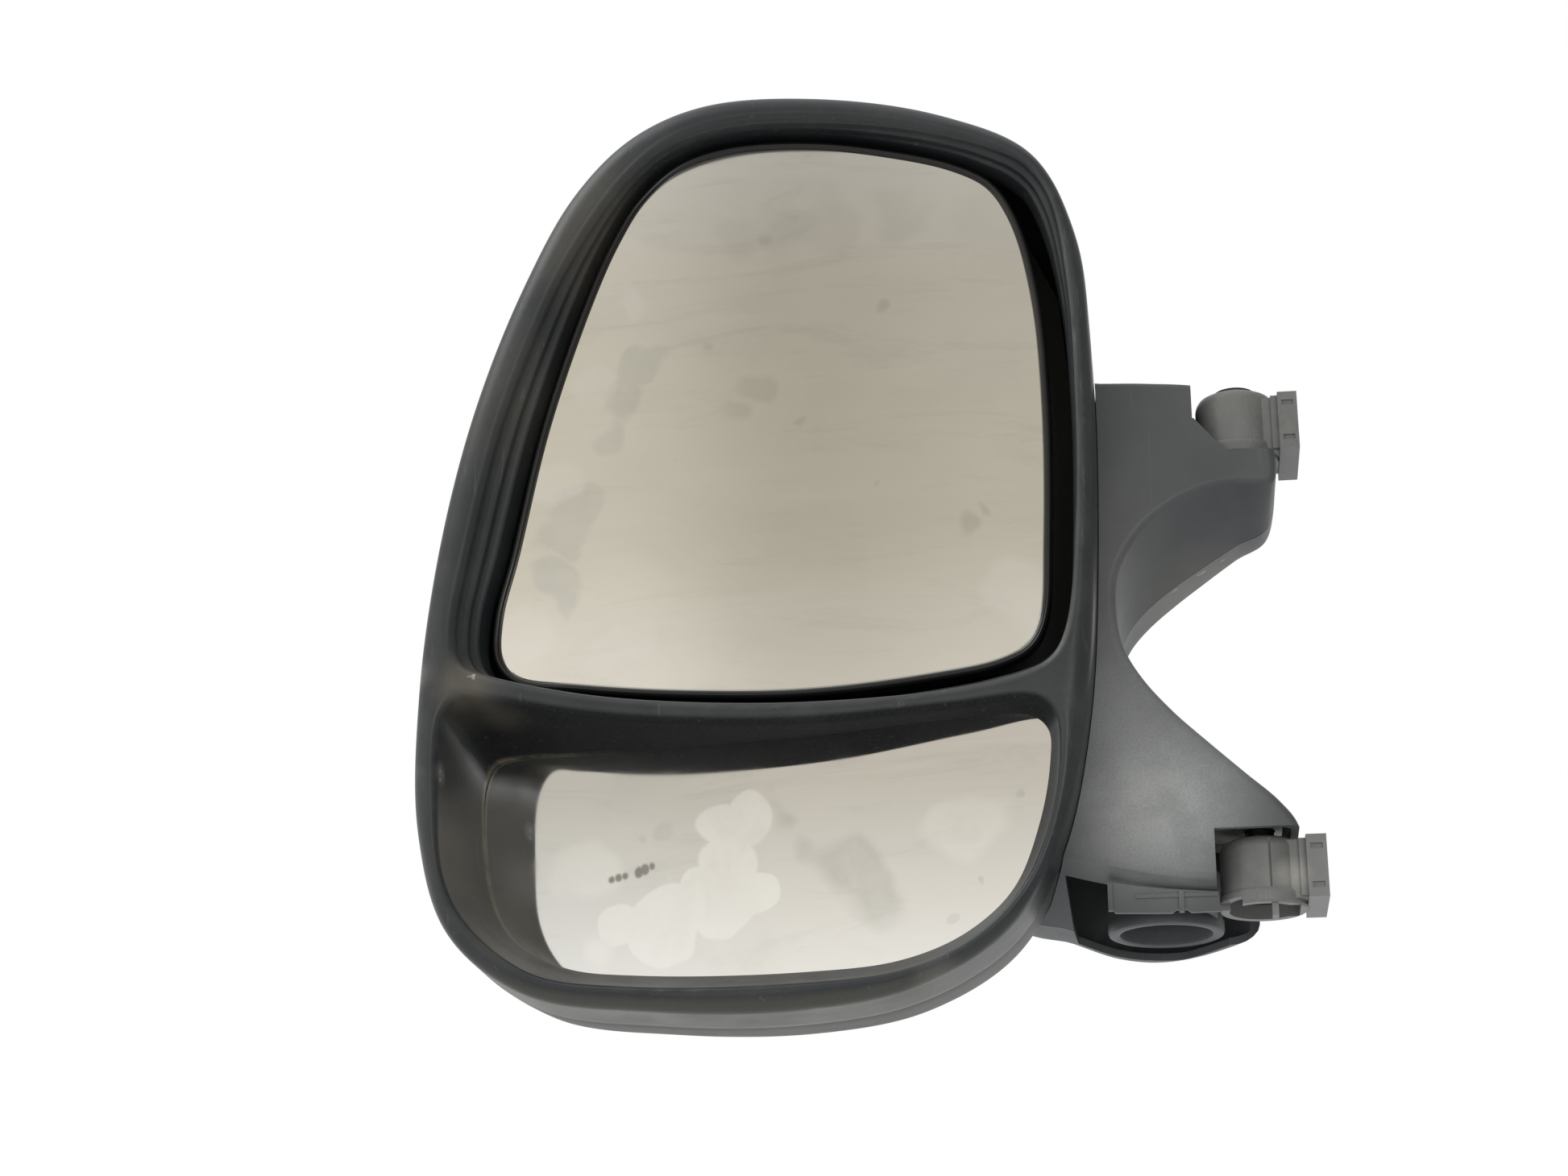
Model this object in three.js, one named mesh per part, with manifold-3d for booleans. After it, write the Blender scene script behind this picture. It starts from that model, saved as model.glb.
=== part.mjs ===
// Left-hand door mirror of a light van: a tall head with two glasses, carried by a C-shaped arm on two door feet.
// Units are millimetres. +X points to the door, +Z up, -Y to the driver, who looks at the glasses.
// The origin is the middle of the lower foot's seat face, which lies on the door.
import * as THREE from 'three';
import { mergeVertices } from 'three/addons/utils/BufferGeometryUtils.js';
import Module from 'manifold-3d';

const wasm = await Module();
wasm.setup();

// ---- driving dimensions ----
const WALL = 2.6;                 // moulded walls of the head and of the arm covers
const GAP = 0.4;                  // running and fitting gap between separate pieces
const STEPS = 2;                  // points between two stations of a smooth outline

const HEAD_CENTRE = [-192, 126];  // x and z that the rear shell closes towards
const BEZEL_FRONT = -45;          // y of the bezel's front face
const SPLIT = -12;                // y where bezel and rear shell meet
const SHELL_BACK = 72;            // y of the rearmost point of the head

const FOLD_X = -22;               // the vertical fold axis
const FOLD_Y = 0;
const FOOT_R = 14.5;              // shroud of each foot around the fold axis
const PIN_R = 5;
const SWEEP_R = 32;               // the covers are cut back to this radius around the feet
const NOTCH_X = -38;              // left side of that cut
const UPPER_NOTCH_Z = 154;        // the upper foot stands above this height
const LOWER_NOTCH_Z = 13.5;       // the lower foot hangs below this height
const SEAT_HALF = 16;             // half width of a seat plate along y

const ARM_FRONT = -19;            // y of the arm's front face
const ARM_SPLIT = 42;             // depth from there to the joint of the two covers, at the head
const ARM_DEPTH = 70;             // depth to the back of the arm, at the head

const PIVOT = [-188, -19, 170];   // centre of the main glass's gimbal
const JACK_ARM = 36;              // distance of each jack screw from that centre
const CARRIER_Y = 13.5;           // front of the carrier plate inside the head
const LOWER_TILT = 0.164;         // slope of the lower glass, y gained per mm away from the door

// ---- outlines, [x, z] stations seen from the driver's side ----
const HEAD = [
  [-170, 298], [-215, 298.5], [-243, 287], [-265, 264], [-284, 226], [-301, 176], [-312, 122], [-317, 66],
  [-315, 16], [-303, -20], [-275, -42], [-232, -49], [-180, -50], [-140, -43], [-108, -24], [-90, 6],
  [-79, 52], [-74, 112], [-73, 190], [-77, 235], [-92, 269], [-124, 287],
];
// the main window at the bezel's face, and the rim of the glass set back inside it
const WINDOW = [
  [-176, 287], [-207, 287], [-229, 280.5], [-244, 267.5], [-257, 249], [-270.5, 223], [-288.5, 171.5],
  [-299, 121.5], [-303.5, 90], [-301, 78], [-291, 73], [-259.5, 65], [-227, 60.5], [-177, 58], [-126, 60.5],
  [-101, 65.5], [-91, 71], [-85.5, 82], [-81, 118], [-79.5, 165.5], [-81, 215], [-86.5, 249], [-95, 263],
  [-108, 271], [-138, 281],
];
const GLASS = [
  [-177.5, 284], [-208, 284], [-227, 278], [-242, 264], [-251.5, 247], [-260.5, 224], [-276, 172.5],
  [-286.5, 122], [-292, 98], [-291.5, 82], [-284, 73], [-259.5, 68.5], [-222, 64.5], [-178, 63], [-132.5, 67],
  [-108.5, 71.5], [-97.5, 77.5], [-92, 88], [-89.5, 118], [-88.5, 168], [-91, 212], [-98, 245], [-107, 261.5],
  [-121, 270.5], [-147, 278.5],
];
// the lower window at the bezel's face, and where its funnel meets the slanted glass
const LOWER_WINDOW = [
  [-177, 50], [-230.5, 52.5], [-260, 56.5], [-288, 62.5], [-301.5, 64.5], [-307, 56], [-307, 25], [-304, 0],
  [-295, -17], [-272, -35], [-240, -40.5], [-177, -41], [-144, -37.5], [-120, -27], [-103, -10], [-93, 13],
  [-89.3, 38], [-90.5, 49], [-97, 54.5], [-126, 53],
];
const LOWER_GLASS = [
  [-178, 52], [-240, 52.5], [-266, 53], [-288, 53.5], [-297, 51.5], [-300.5, 44], [-299.5, 16], [-294.5, -3.5],
  [-286.5, -15], [-268, -25.5], [-240, -30], [-180, -32.5], [-146, -30.5], [-123.5, -22.5], [-107, -8.5],
  [-97.5, 14], [-93, 35], [-93, 46.5], [-99, 52.5], [-126, 53.5],
];
// the arm's C outline: x, z on its front face, z from the covers' joint to the back
const ARM = [
  [-112, 186, 184], [-70.5, 184, 182], [-54, 183, 180], [-34, 180.5, 177], [-18, 174, 170], [-11, 162, 158],
  [-9.5, 143, 143], [-12, 140.5, 134], [-24, 141, 128.5], [-36, 139, 122.5], [-46, 134.5, 117],
  [-56, 127, 110], [-63.5, 117, 102], [-67.5, 107, 94], [-68, 93, 88], [-66, 81, 80], [-60, 69.5, 69.5],
  [-50, 57, 57], [-38, 45, 45], [-26, 33.5, 33.5], [-15, 23, 23], [-9, 14, 14], [-8, -1, -6], [-20, -3.5, -13],
  [-38, -4.5, -17.5], [-58, -2, -19], [-74, 1.5, -17], [-90, 5, -11], [-112, 11, -2],
];

// ---- materials ----
const FINISHES = {
  plastic: [0x24272a, 0.55, 0.0],
  cover: [0x34383a, 0.6, 0.0],
  foot: [0x4a4a44, 0.5, 0.0],
  glass: [0xb9bcb6, 0.05, 0.9],
  steel: [0x9aa0a4, 0.35, 0.9],
  cast: [0x8c9092, 0.5, 0.8],
  pale: [0x6a6e70, 0.6, 0.0],
  rubber: [0x1a1a1a, 0.8, 0.0],
  foil: [0xa8793a, 0.6, 0.2],
};

const mirror = new THREE.Group();
mirror.name = 'van_door_mirror';

// ---- helpers: solids ----
function bareGeometry(geometry) {
  const copy = geometry.clone();
  copy.deleteAttribute('normal');
  copy.deleteAttribute('uv');
  return mergeVertices(copy, 1e-4);
}

function signedVolume(points, faces) {
  let volume = 0;
  const corner = [new THREE.Vector3(), new THREE.Vector3(), new THREE.Vector3()];
  for (let i = 0; i < faces.length; i += 3) {
    for (let k = 0; k < 3; k += 1) {
      corner[k].fromArray(points, 3 * faces[i + k]);
    }
    volume += corner[0].dot(corner[1].clone().cross(corner[2]));
  }
  return volume / 6;
}

function solid(geometry) {
  const bare = bareGeometry(geometry);
  const points = bare.attributes.position.array;
  const faces = [];
  for (let i = 0; i < bare.index.count; i += 3) {
    const [a, b, c] = [bare.index.getX(i), bare.index.getX(i + 1), bare.index.getX(i + 2)];
    if (a !== b && b !== c && c !== a) {
      faces.push(a, b, c);
    }
  }
  if (signedVolume(points, faces) < 0) {
    faces.reverse();
  }
  return new wasm.Manifold(new wasm.Mesh({
    numProp: 3,
    vertProperties: Float32Array.from(points),
    triVerts: Uint32Array.from(faces),
  }));
}

function add(name, body, finish) {
  const mesh = body.getMesh();
  const geometry = new THREE.BufferGeometry();
  geometry.setAttribute('position', new THREE.BufferAttribute(Float32Array.from(mesh.vertProperties), 3));
  geometry.setIndex(new THREE.BufferAttribute(Uint32Array.from(mesh.triVerts), 1));
  geometry.computeVertexNormals();
  const [color, roughness, metalness] = FINISHES[finish];
  const piece = new THREE.Mesh(geometry, new THREE.MeshStandardMaterial({ color, roughness, metalness }));
  piece.name = name;
  mirror.add(piece);
}

function union(bodies) {
  return bodies.reduce((sum, body) => sum.add(body));
}

function box([x0, x1], [y0, y1], [z0, z1]) {
  const geometry = new THREE.BoxGeometry(x1 - x0, y1 - y0, z1 - z0);
  geometry.translate((x0 + x1) / 2, (y0 + y1) / 2, (z0 + z1) / 2);
  return solid(geometry);
}

// a turned body: profile of [radius, height] pairs, revolved about the named axis through a point
function turned(profile, axis, [x, y, z], segments = 20) {
  const geometry = new THREE.LatheGeometry(profile.map(([r, h]) => new THREE.Vector2(r, h)), segments);
  if (axis === 'z') {
    geometry.rotateX(Math.PI / 2);
  }
  if (axis === 'x') {
    geometry.rotateZ(-Math.PI / 2);
  }
  geometry.translate(x, y, z);
  return solid(geometry);
}

function rod(axis, radius, from, to, centre, segments = 20) {
  return turned([[0, from], [radius, from], [radius, to], [0, to]], axis, centre, segments);
}

function tube(axis, outer, inner, from, to, centre, segments = 28) {
  return turned([[inner, from], [outer, from], [outer, to], [inner, to], [inner, from]], axis, centre, segments);
}

// a plan outline of [x, y] points, raised from z0 to z1
function raised(points, z0, z1) {
  const shape = new THREE.Shape(points.map(([x, y]) => new THREE.Vector2(x, y)));
  const geometry = new THREE.ExtrudeGeometry(shape, { depth: z1 - z0, bevelEnabled: false });
  geometry.translate(0, 0, z0);
  return solid(geometry);
}

// an outline of [x, z] points seen from the driver's side, thickened from y0 to y1
function plate(points, y0, y1) {
  return loft([level(points, y0), level(points, y1)]);
}

function roundedBox([x0, x1], [z0, z1], radius, y0, y1) {
  const corners = [[x1, z1, 0], [x0, z1, 90], [x0, z0, 180], [x1, z0, 270]];
  const points = [];
  for (const [cx, cz, start] of corners) {
    const sx = cx === x1 ? cx - radius : cx + radius;
    const sz = cz === z1 ? cz - radius : cz + radius;
    for (let k = 0; k <= 4; k += 1) {
      const angle = THREE.MathUtils.degToRad(start + k * 22.5);
      points.push([sx + radius * Math.cos(angle), sz + radius * Math.sin(angle)]);
    }
  }
  return plate(points, y0, y1);
}

// ---- helpers: outlines and lofts ----
function smooth(stations) {
  const points = stations.map(([x, z]) => new THREE.Vector3(x, 0, z));
  const curve = new THREE.CatmullRomCurve3(points, true, 'centripetal');
  const count = stations.length * STEPS;
  const outline = [];
  for (let i = 0; i < count; i += 1) {
    const point = curve.getPoint(i / count);
    outline.push([point.x, point.z]);
  }
  return outline;
}

function turnSign(outline) {
  let area = 0;
  outline.forEach(([x, z], i) => {
    const [nx, nz] = outline[(i + 1) % outline.length];
    area += x * nz - nx * z;
  });
  return Math.sign(area);
}

// move each point outwards (negative: inwards) square to the outline
function offset(outline, distance) {
  const side = turnSign(outline);
  const count = outline.length;
  return outline.map(([x, z], i) => {
    const [px, pz] = outline[(i + count - 1) % count];
    const [nx, nz] = outline[(i + 1) % count];
    const before = new THREE.Vector2(z - pz, px - x).normalize().multiplyScalar(side);
    const after = new THREE.Vector2(nz - z, x - nx).normalize().multiplyScalar(side);
    const normal = before.clone().add(after).normalize();
    const reach = distance / Math.max(0.6, normal.dot(after));
    return [x + normal.x * reach, z + normal.y * reach];
  });
}

function shrink(outline, [cx, cz], share) {
  return outline.map(([x, z]) => [x + (cx - x) * share, z + (cz - z) * share]);
}

function level(outline, y) {
  const depth = typeof y === 'function' ? y : () => y;
  return outline.map(([x, z]) => new THREE.Vector3(x, depth(x, z), z));
}

// a closed body through a row of rings with equal point counts
function loft(rings) {
  const count = rings[0].length;
  const points = rings.flat().flatMap((point) => point.toArray());
  const faces = [];
  for (let r = 0; r + 1 < rings.length; r += 1) {
    for (let i = 0; i < count; i += 1) {
      const next = (i + 1) % count;
      const [a, b] = [r * count + i, r * count + next];
      const [c, d] = [a + count, b + count];
      faces.push(a, b, d, a, d, c);
    }
  }
  const last = (rings.length - 1) * count;
  const capOf = (ring) => THREE.ShapeUtils.triangulateShape(ring.map((p) => new THREE.Vector2(p.x, p.z)), []);
  const forward = turnSign(rings[0].map((p) => [p.x, p.z])) > 0;
  for (const [a, b, c] of capOf(rings[0])) {
    faces.push(a, forward ? c : b, forward ? b : c);
  }
  for (const [a, b, c] of capOf(rings[rings.length - 1])) {
    faces.push(a + last, (forward ? b : c) + last, (forward ? c : b) + last);
  }
  const geometry = new THREE.BufferGeometry();
  geometry.setAttribute('position', new THREE.Float32BufferAttribute(points, 3));
  geometry.setIndex(faces);
  return solid(orient(geometry, count));
}

// the side walls and the end caps of a loft have to turn the same way round
function orient(geometry, count) {
  const index = geometry.index.array;
  const edges = new Set();
  const walls = [];
  const caps = [];
  for (let i = 0; i < index.length; i += 3) {
    const face = [index[i], index[i + 1], index[i + 2]];
    const rings = new Set(face.map((k) => Math.floor(k / count)));
    (rings.size > 1 ? walls : caps).push(face);
  }
  for (const [a, b, c] of walls) {
    edges.add(`${a}_${b}`);
    edges.add(`${b}_${c}`);
    edges.add(`${c}_${a}`);
  }
  const capRings = new Map();
  for (const face of caps) {
    const ring = Math.floor(face[0] / count);
    capRings.set(ring, [...(capRings.get(ring) || []), face]);
  }
  const faces = walls.flat();
  for (const ringFaces of capRings.values()) {
    const clash = ringFaces.some(([a, b, c]) => [`${a}_${b}`, `${b}_${c}`, `${c}_${a}`].some((e) => edges.has(e)));
    faces.push(...ringFaces.flatMap(([a, b, c]) => (clash ? [a, c, b] : [a, b, c])));
  }
  geometry.setIndex(faces);
  return geometry;
}

// ---- shared outlines ----
const head = smooth(HEAD);
const mainWindow = smooth(WINDOW);
const glassRim = smooth(GLASS);
const lowerWindow = smooth(LOWER_WINDOW);
const lowerSight = smooth(LOWER_GLASS);
const lowerPlane = (x) => -33 + (-94 - x) * LOWER_TILT;

// the outside of the head, grown by a margin; the covers and the frame are cut to it
const SHELL_RINGS = [[0, 0.004], [15, 0.014], [29, 0.05], [41, 0.115], [51, 0.2], [60, 0.33], [67, 0.5], [71, 0.7]];

function headBody(margin) {
  const grown = offset(head, margin);
  const rings = [
    level(offset(head, margin - 6.5), BEZEL_FRONT - margin),
    level(offset(head, margin - 3), BEZEL_FRONT + 1.2 - margin),
    level(offset(head, margin - 0.8), BEZEL_FRONT + 4),
    level(grown, BEZEL_FRONT + 8),
    level(grown, SPLIT),
  ];
  for (const [y, share] of SHELL_RINGS) {
    rings.push(level(offset(shrink(head, HEAD_CENTRE, share), margin), y));
  }
  rings.push(level(shrink(head, HEAD_CENTRE, 0.88), SHELL_BACK + margin));
  return loft(rings);
}

const headSolid = headBody(0);
const headClear = headBody(GAP);

// ---- bezel ----
function makeBezel() {
  const hole = offset(glassRim, 2.6).map(([x, z]) => [x > -104 ? x + 4.5 : x, z]);
  const holeBack = -25;
  const slope = (shift) => (x) => lowerPlane(x) + shift;
  const innerSkirt = loft([
    level(offset(head, -6.5), BEZEL_FRONT + 3),
    level(offset(head, -WALL), BEZEL_FRONT + 9),
    level(offset(head, -WALL), SPLIT + 5),
  ]);
  const frontHalf = box([-330, -60], [BEZEL_FRONT - 2, SPLIT], [-60, 310]);
  const skin = headSolid.intersect(frontHalf).subtract(innerSkirt);
  const mainWall = loft([
    level(offset(mainWindow, WALL), BEZEL_FRONT + 2),
    level(offset(hole, 2.2), -31),
    level(offset(hole, 2.2), holeBack),
  ]);
  const lowerWall = loft([
    level(offset(lowerWindow, WALL - 0.6), BEZEL_FRONT + 2),
    level(offset(lowerSight, WALL), slope(-0.2)),
  ]);
  const posts = union(BEZEL_POSTS.map(([x, z]) => rod('y', 3, BEZEL_FRONT + 3, CARRIER_Y - GAP, [x, 0, z], 12)));
  const holes = union(BEZEL_POSTS.map(([x, z]) => rod('y', 1.6, CARRIER_Y - 11, CARRIER_Y + 1, [x, 0, z], 10)));
  const mainCut = loft([
    level(offset(mainWindow, 1.6), BEZEL_FRONT - 1),
    level(mainWindow, BEZEL_FRONT + 2.2),
    level(hole, -31),
    level(hole, holeBack + 1),
  ]);
  const lowerCut = loft([
    level(offset(lowerWindow, 1.2), BEZEL_FRONT - 1),
    level(lowerWindow, BEZEL_FRONT + 2),
    level(lowerSight, slope(-0.4)),
    level(lowerSight, slope(1)),
  ]);
  return union([skin, mainWall, lowerWall, posts]).subtract(holes).subtract(mainCut).subtract(lowerCut);
}

const BEZEL_POSTS = [[-300, 128], [-236, 279.8], [-226, -39.5], [-150, 283.5]];
add('bezel', makeBezel(), 'plastic');

// ---- rear shell ----
const ARM_PORT = [[-96, -60], [1, 46], [18, 172]];          // where the arm's frame enters the head

function makeRearShell() {
  const back = headSolid.intersect(box([-330, -60], [SPLIT + GAP, SHELL_BACK + 2], [-60, 310]));
  const rings = [level(offset(head, -WALL - 0.6), SPLIT - 2)];
  for (const [y, share] of SHELL_RINGS) {
    rings.push(level(offset(shrink(head, HEAD_CENTRE, share), -WALL), y === 71 ? y - 2.2 : y - WALL * share));
  }
  const bosses = union(SHELL_BOSSES.map(([x, z]) => rod('y', 4.5, CARRIER_Y + 3.6, 64, [x, 0, z], 12)));
  const shell = back.subtract(loft(rings)).add(bosses.intersect(headBody(-0.8)));
  const holes = union(SHELL_BOSSES.map(([x, z]) => rod('y', 1.9, CARRIER_Y + 3, CARRIER_Y + 18, [x, 0, z], 10)));
  return shell.subtract(holes).subtract(box(...ARM_PORT));
}

const SHELL_BOSSES = [[-255, 190], [-262, 20], [-160, 262], [-160, -12]];
add('rear_shell', makeRearShell(), 'plastic');

// ---- carrier plate inside the head ----
const CARRIER_T = 3;
const CARRIER_BACK = CARRIER_Y + CARRIER_T;
const FRAME_Y = [CARRIER_BACK + GAP, CARRIER_BACK + GAP + 8];
const FRAME_BOLTS = [[-122, 158], [-106, 96], [-122, 40]];
const ACTUATOR_BOLTS = [[-230, 128], [-146, 128], [-188, 210]];

function makeCarrier() {
  const sheet = plate(offset(HEAD, -9), CARRIER_Y, CARRIER_BACK);
  const windows = union([
    roundedBox([-272, -236], [60, 110], 8, 10, 20),
    roundedBox([-210, -166], [30, 84], 8, 10, 20),
    roundedBox([-250, -150], [-20, 8], 8, 10, 20),
    roundedBox([-218, -140], [234, 262], 8, 10, 20),
  ]);
  const places = [...BEZEL_POSTS, ...SHELL_BOSSES, ...FRAME_BOLTS, ...ACTUATOR_BOLTS];
  const holes = union(places.map(([x, z]) => rod('y', 2.4, 10, 20, [x, 0, z], 10)));
  const ribs = union([
    box([-236, -140], [CARRIER_BACK - 0.5, CARRIER_BACK + 5], [112, 115]),
    box([-300, -276], [CARRIER_BACK - 0.5, CARRIER_BACK + 5], [70, 73]),
    box([-216, -213], [CARRIER_BACK - 0.5, CARRIER_BACK + 5], [14, 112]),
  ]);
  return sheet.subtract(windows).add(ribs).subtract(holes);
}

add('carrier_plate', makeCarrier(), 'pale');

// ---- main glass: holder, heater and convex glass, all with the same gentle crown ----
const CROWN = [[0, 0], [0.3, 2], [0.75, 3.4]];   // share of the way in, rise to the driver
const GLASS_CENTRE = [-186, 172];
const GLASS_EDGE_Y = -31.8;
const GLASS_T = 2.2;
const HOLDER_BACK = -24.6;

function crowned(inset, y, rise = 1, rim = glassRim) {
  const edge = offset(rim, -inset);
  return CROWN.map(([share, bulge]) => level(shrink(edge, GLASS_CENTRE, share), y - bulge * rise));
}

function sheet(inset, front, back, rise = 1, rim = glassRim) {
  return loft([...crowned(inset, front, rise, rim).reverse(), ...crowned(inset, back, rise, rim)]);
}

function makeHolder() {
  const rim = loft([
    level(offset(glassRim, -1.2), GLASS_EDGE_Y - 1.4),
    level(glassRim, GLASS_EDGE_Y - 0.4),
    level(glassRim, HOLDER_BACK - 2),
    level(offset(glassRim, -3), HOLDER_BACK),
  ]);
  const pocket = loft([
    level(offset(glassRim, -2.2), GLASS_EDGE_Y - 3),
    ...crowned(2.2, GLASS_EDGE_Y + GLASS_T + 1),
  ]);
  const [px, py, pz] = PIVOT;
  const cups = [[px + JACK_ARM, pz], [px, pz - JACK_ARM]].map(([x, z]) => (
    tube('y', 6.4, 4.7, HOLDER_BACK - 0.5, HOLDER_BACK + 9.5, [x, 0, z], 20)));
  const lugs = [pz - 24, pz + 24].map((z) => box([px - 5, px + 5], [HOLDER_BACK - 0.5, py + 5], [z - 2.5, z + 2.5]));
  const bore = rod('z', 2.1, -30, 30, PIVOT, 14);
  return union([rim.subtract(pocket), ...cups, ...lugs]).subtract(bore);
}

add('glass_holder', makeHolder(), 'plastic');
add('main_glass', sheet(2.6, GLASS_EDGE_Y, GLASS_EDGE_Y + GLASS_T), 'glass');
add('heater_pad', sheet(8, GLASS_EDGE_Y + GLASS_T - 0.2, GLASS_EDGE_Y + GLASS_T + 0.2, 0.88, GLASS), 'foil');

// ---- gimbal ring between the holder and the actuator ----
function makeGimbal() {
  const ring = tube('y', 17, 13, -2.2, 2.2, PIVOT, 32);
  const stubs = [
    rod('z', 1.7, 16, 27, PIVOT, 14),
    rod('z', 1.7, -27, -16, PIVOT, 14),
  ];
  const bores = rod('x', 1.5, -20, 20, PIVOT, 14);
  return union([ring, ...stubs]).subtract(bores);
}

add('gimbal_ring', makeGimbal(), 'plastic');

// ---- actuator: base with a post, cover, two motors, two jack screws ----
const BASE_Y = [-9, 10];
const JACKS = { pan: [PIVOT[0] + JACK_ARM, PIVOT[2]], tilt: [PIVOT[0], PIVOT[2] - JACK_ARM] };

function makeActuatorBase() {
  const [px, py, pz] = PIVOT;
  const shell = roundedBox([px - 48, px + 54], [pz - 54, pz + 46], 16, ...BASE_Y);
  const hollow = roundedBox([px - 45.5, px + 51.5], [pz - 51.5, pz + 43.5], 13.5, BASE_Y[0] + 2.5, BASE_Y[1] + 1);
  const lugs = ACTUATOR_BOLTS.map(([x, z]) => rod('y', 6, BASE_Y[0] + 1, CARRIER_Y - GAP, [x, 0, z], 16));
  const post = rod('y', 8.5, py - 1, BASE_Y[0] + 1, [px, 0, pz], 24);
  const pins = rod('x', 1.1, -16, 16, PIVOT, 14);
  const slots = Object.values(JACKS).map(([x, z]) => rod('y', 2.9, -20, 0, [x, 0, z], 16));
  const bolts = ACTUATOR_BOLTS.map(([x, z]) => rod('y', 2.2, -20, 20, [x, 0, z], 12));
  return union([shell.subtract(hollow), ...lugs, post, pins]).subtract(union([...slots, ...bolts]));
}

add('actuator_base', makeActuatorBase(), 'plastic');

function makeActuatorCover() {
  const [px, , pz] = PIVOT;
  const lid = roundedBox([px - 45, px + 51], [pz - 51, pz + 43], 13, BASE_Y[1] - 1.4, BASE_Y[1] + 1.2);
  const lugRoom = union(ACTUATOR_BOLTS.map(([x, z]) => rod('y', 6.5, 0, 20, [x, 0, z], 16)));
  return lid.subtract(lugRoom);
}

add('actuator_cover', makeActuatorCover(), 'plastic');

function motor(from, to, centre, axis) {
  return turned([[0, from], [7, from], [7, to], [2.5, to], [2.5, to + 4], [0, to + 4]], axis, centre, 18);
}

add('pan_motor', motor(-14, 14, [PIVOT[0] + 24, 1, PIVOT[2] - 28], 'z'), 'steel');
add('tilt_motor', motor(-14, 14, [PIVOT[0] - 26, 1, PIVOT[2] - 20], 'x'), 'steel');

function jackScrew([x, z]) {
  const [, py] = PIVOT;
  const profile = [[0, py - 3.4], [1.8, py - 2.9], [3.1, py - 1.4], [3.4, py], [3.1, py + 1.4], [2.2, py + 2.6],
    [2.2, 3.5], [0, 3.5]];
  return turned(profile, 'y', [x, 0, z], 18);
}

add('pan_jack_screw', jackScrew(JACKS.pan), 'pale');
add('tilt_jack_screw', jackScrew(JACKS.tilt), 'pale');

// ---- lower glass, fixed behind the lower funnel ----
const LOWER_CENTRE = [-190, 12];

function slanted(grow, y) {
  const edge = offset(lowerSight, grow);
  return [[0, 0], [0.3, 1.6], [0.7, 2.6]].map(([share, bulge]) => (
    level(shrink(edge, LOWER_CENTRE, share), (x) => lowerPlane(x) + y - bulge)));
}

add('lower_glass', loft([...slanted(3, 0.4).reverse(), ...slanted(3, 2.6)]), 'glass');
add('lower_glass_backing', loft([
  level(offset(lowerSight, 3.4), (x) => lowerPlane(x) + 3),
  level(offset(lowerSight, 3.4), (x) => lowerPlane(x) + 5),
  level(shrink(offset(lowerSight, 3.4), LOWER_CENTRE, 0.12), (x) => lowerPlane(x) + 6.4),
]), 'plastic');

// ---- arm: two covers over a cast frame ----
function taper(x) {
  return 1 - 0.43 * THREE.MathUtils.smoothstep(x, -64, 6);
}

function armLevel(inset, share, y) {
  const outline = offset(ARM.map(([x, front, back]) => [x, front + (back - front) * share]), -inset);
  return outline.map(([x, z]) => new THREE.Vector3(x, y(x), z));
}

const armSplit = (x) => ARM_FRONT + ARM_SPLIT * taper(x);
const armBack = (x) => ARM_FRONT + ARM_DEPTH * taper(x);

const armOuter = loft([
  armLevel(1.6, 0, () => ARM_FRONT),
  armLevel(0.3, 0.02, () => ARM_FRONT + 1),
  armLevel(0, 0.06, () => ARM_FRONT + 3),
  armLevel(0, 1, armSplit),
  armLevel(0.2, 1, (x) => armBack(x) - 5),
  armLevel(3.5, 1, armBack),
]);

function armCavity(extra) {
  const inset = WALL + extra;
  return loft([
    armLevel(inset, 0.05, () => ARM_FRONT + inset),
    armLevel(inset, 1, armSplit),
    armLevel(inset, 1, (x) => armBack(x) - 4 - inset),
    armLevel(inset + 2.5, 1, (x) => armBack(x) - inset),
  ]);
}

// room for the feet to swing in: nothing of the covers comes inside it
function footRoom(z0, z1) {
  const drum = rod('z', SWEEP_R, z0, z1, [FOLD_X, FOLD_Y, 0], 48);
  return drum.intersect(box([NOTCH_X, 20], [-40, 40], [z0 - 1, z1 + 1]));
}

const SLEEVE = [-56, 18];
const SLEEVE_R = 20.5;

const footRooms = union([footRoom(UPPER_NOTCH_Z, 200), footRoom(-40, LOWER_NOTCH_Z)]);
const sleeveRoom = rod('z', SLEEVE_R + 2.4, -30, 8, [...SLEEVE, 0], 36);
const pinRoom = union([[LOWER_NOTCH_Z - 2, LOWER_NOTCH_Z + 3.5], [UPPER_NOTCH_Z - 3.5, UPPER_NOTCH_Z + 2]]
  .map(([z0, z1]) => rod('z', PIN_R + 1.6, z0, z1, [FOLD_X, FOLD_Y, 0], 20)));
// the underside of the lower arm is open between its front skirt and the rear bowl
const underside = raised([[-90, -9], [-42, -9], [-42, 8], [-34, 30], [-50, 42], [-88, 42]], -30, 8);

const armSkin = armOuter.subtract(armCavity(0)).subtract(headClear)
  .subtract(footRooms).subtract(sleeveRoom).subtract(pinRoom).subtract(underside);

function planHalf(front) {
  const edge = [-130, -100, -80, -64, -50, -36, -22, -10, 6, 20].map((x) => [x, armSplit(x) + (front ? 0 : GAP)]);
  const far = front ? -60 : 90;
  return raised([...edge, [20, far], [-130, far]], -60, 220);
}

add('arm_front_cover', largest(armSkin.intersect(planHalf(true))), 'cover');
add('arm_rear_cover', largest(armSkin.intersect(planHalf(false))), 'cover');

function largest(body) {
  const parts = body.decompose();
  return parts.sort((a, b) => b.volume() - a.volume())[0];
}

const HUB_R = 9.6;

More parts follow.
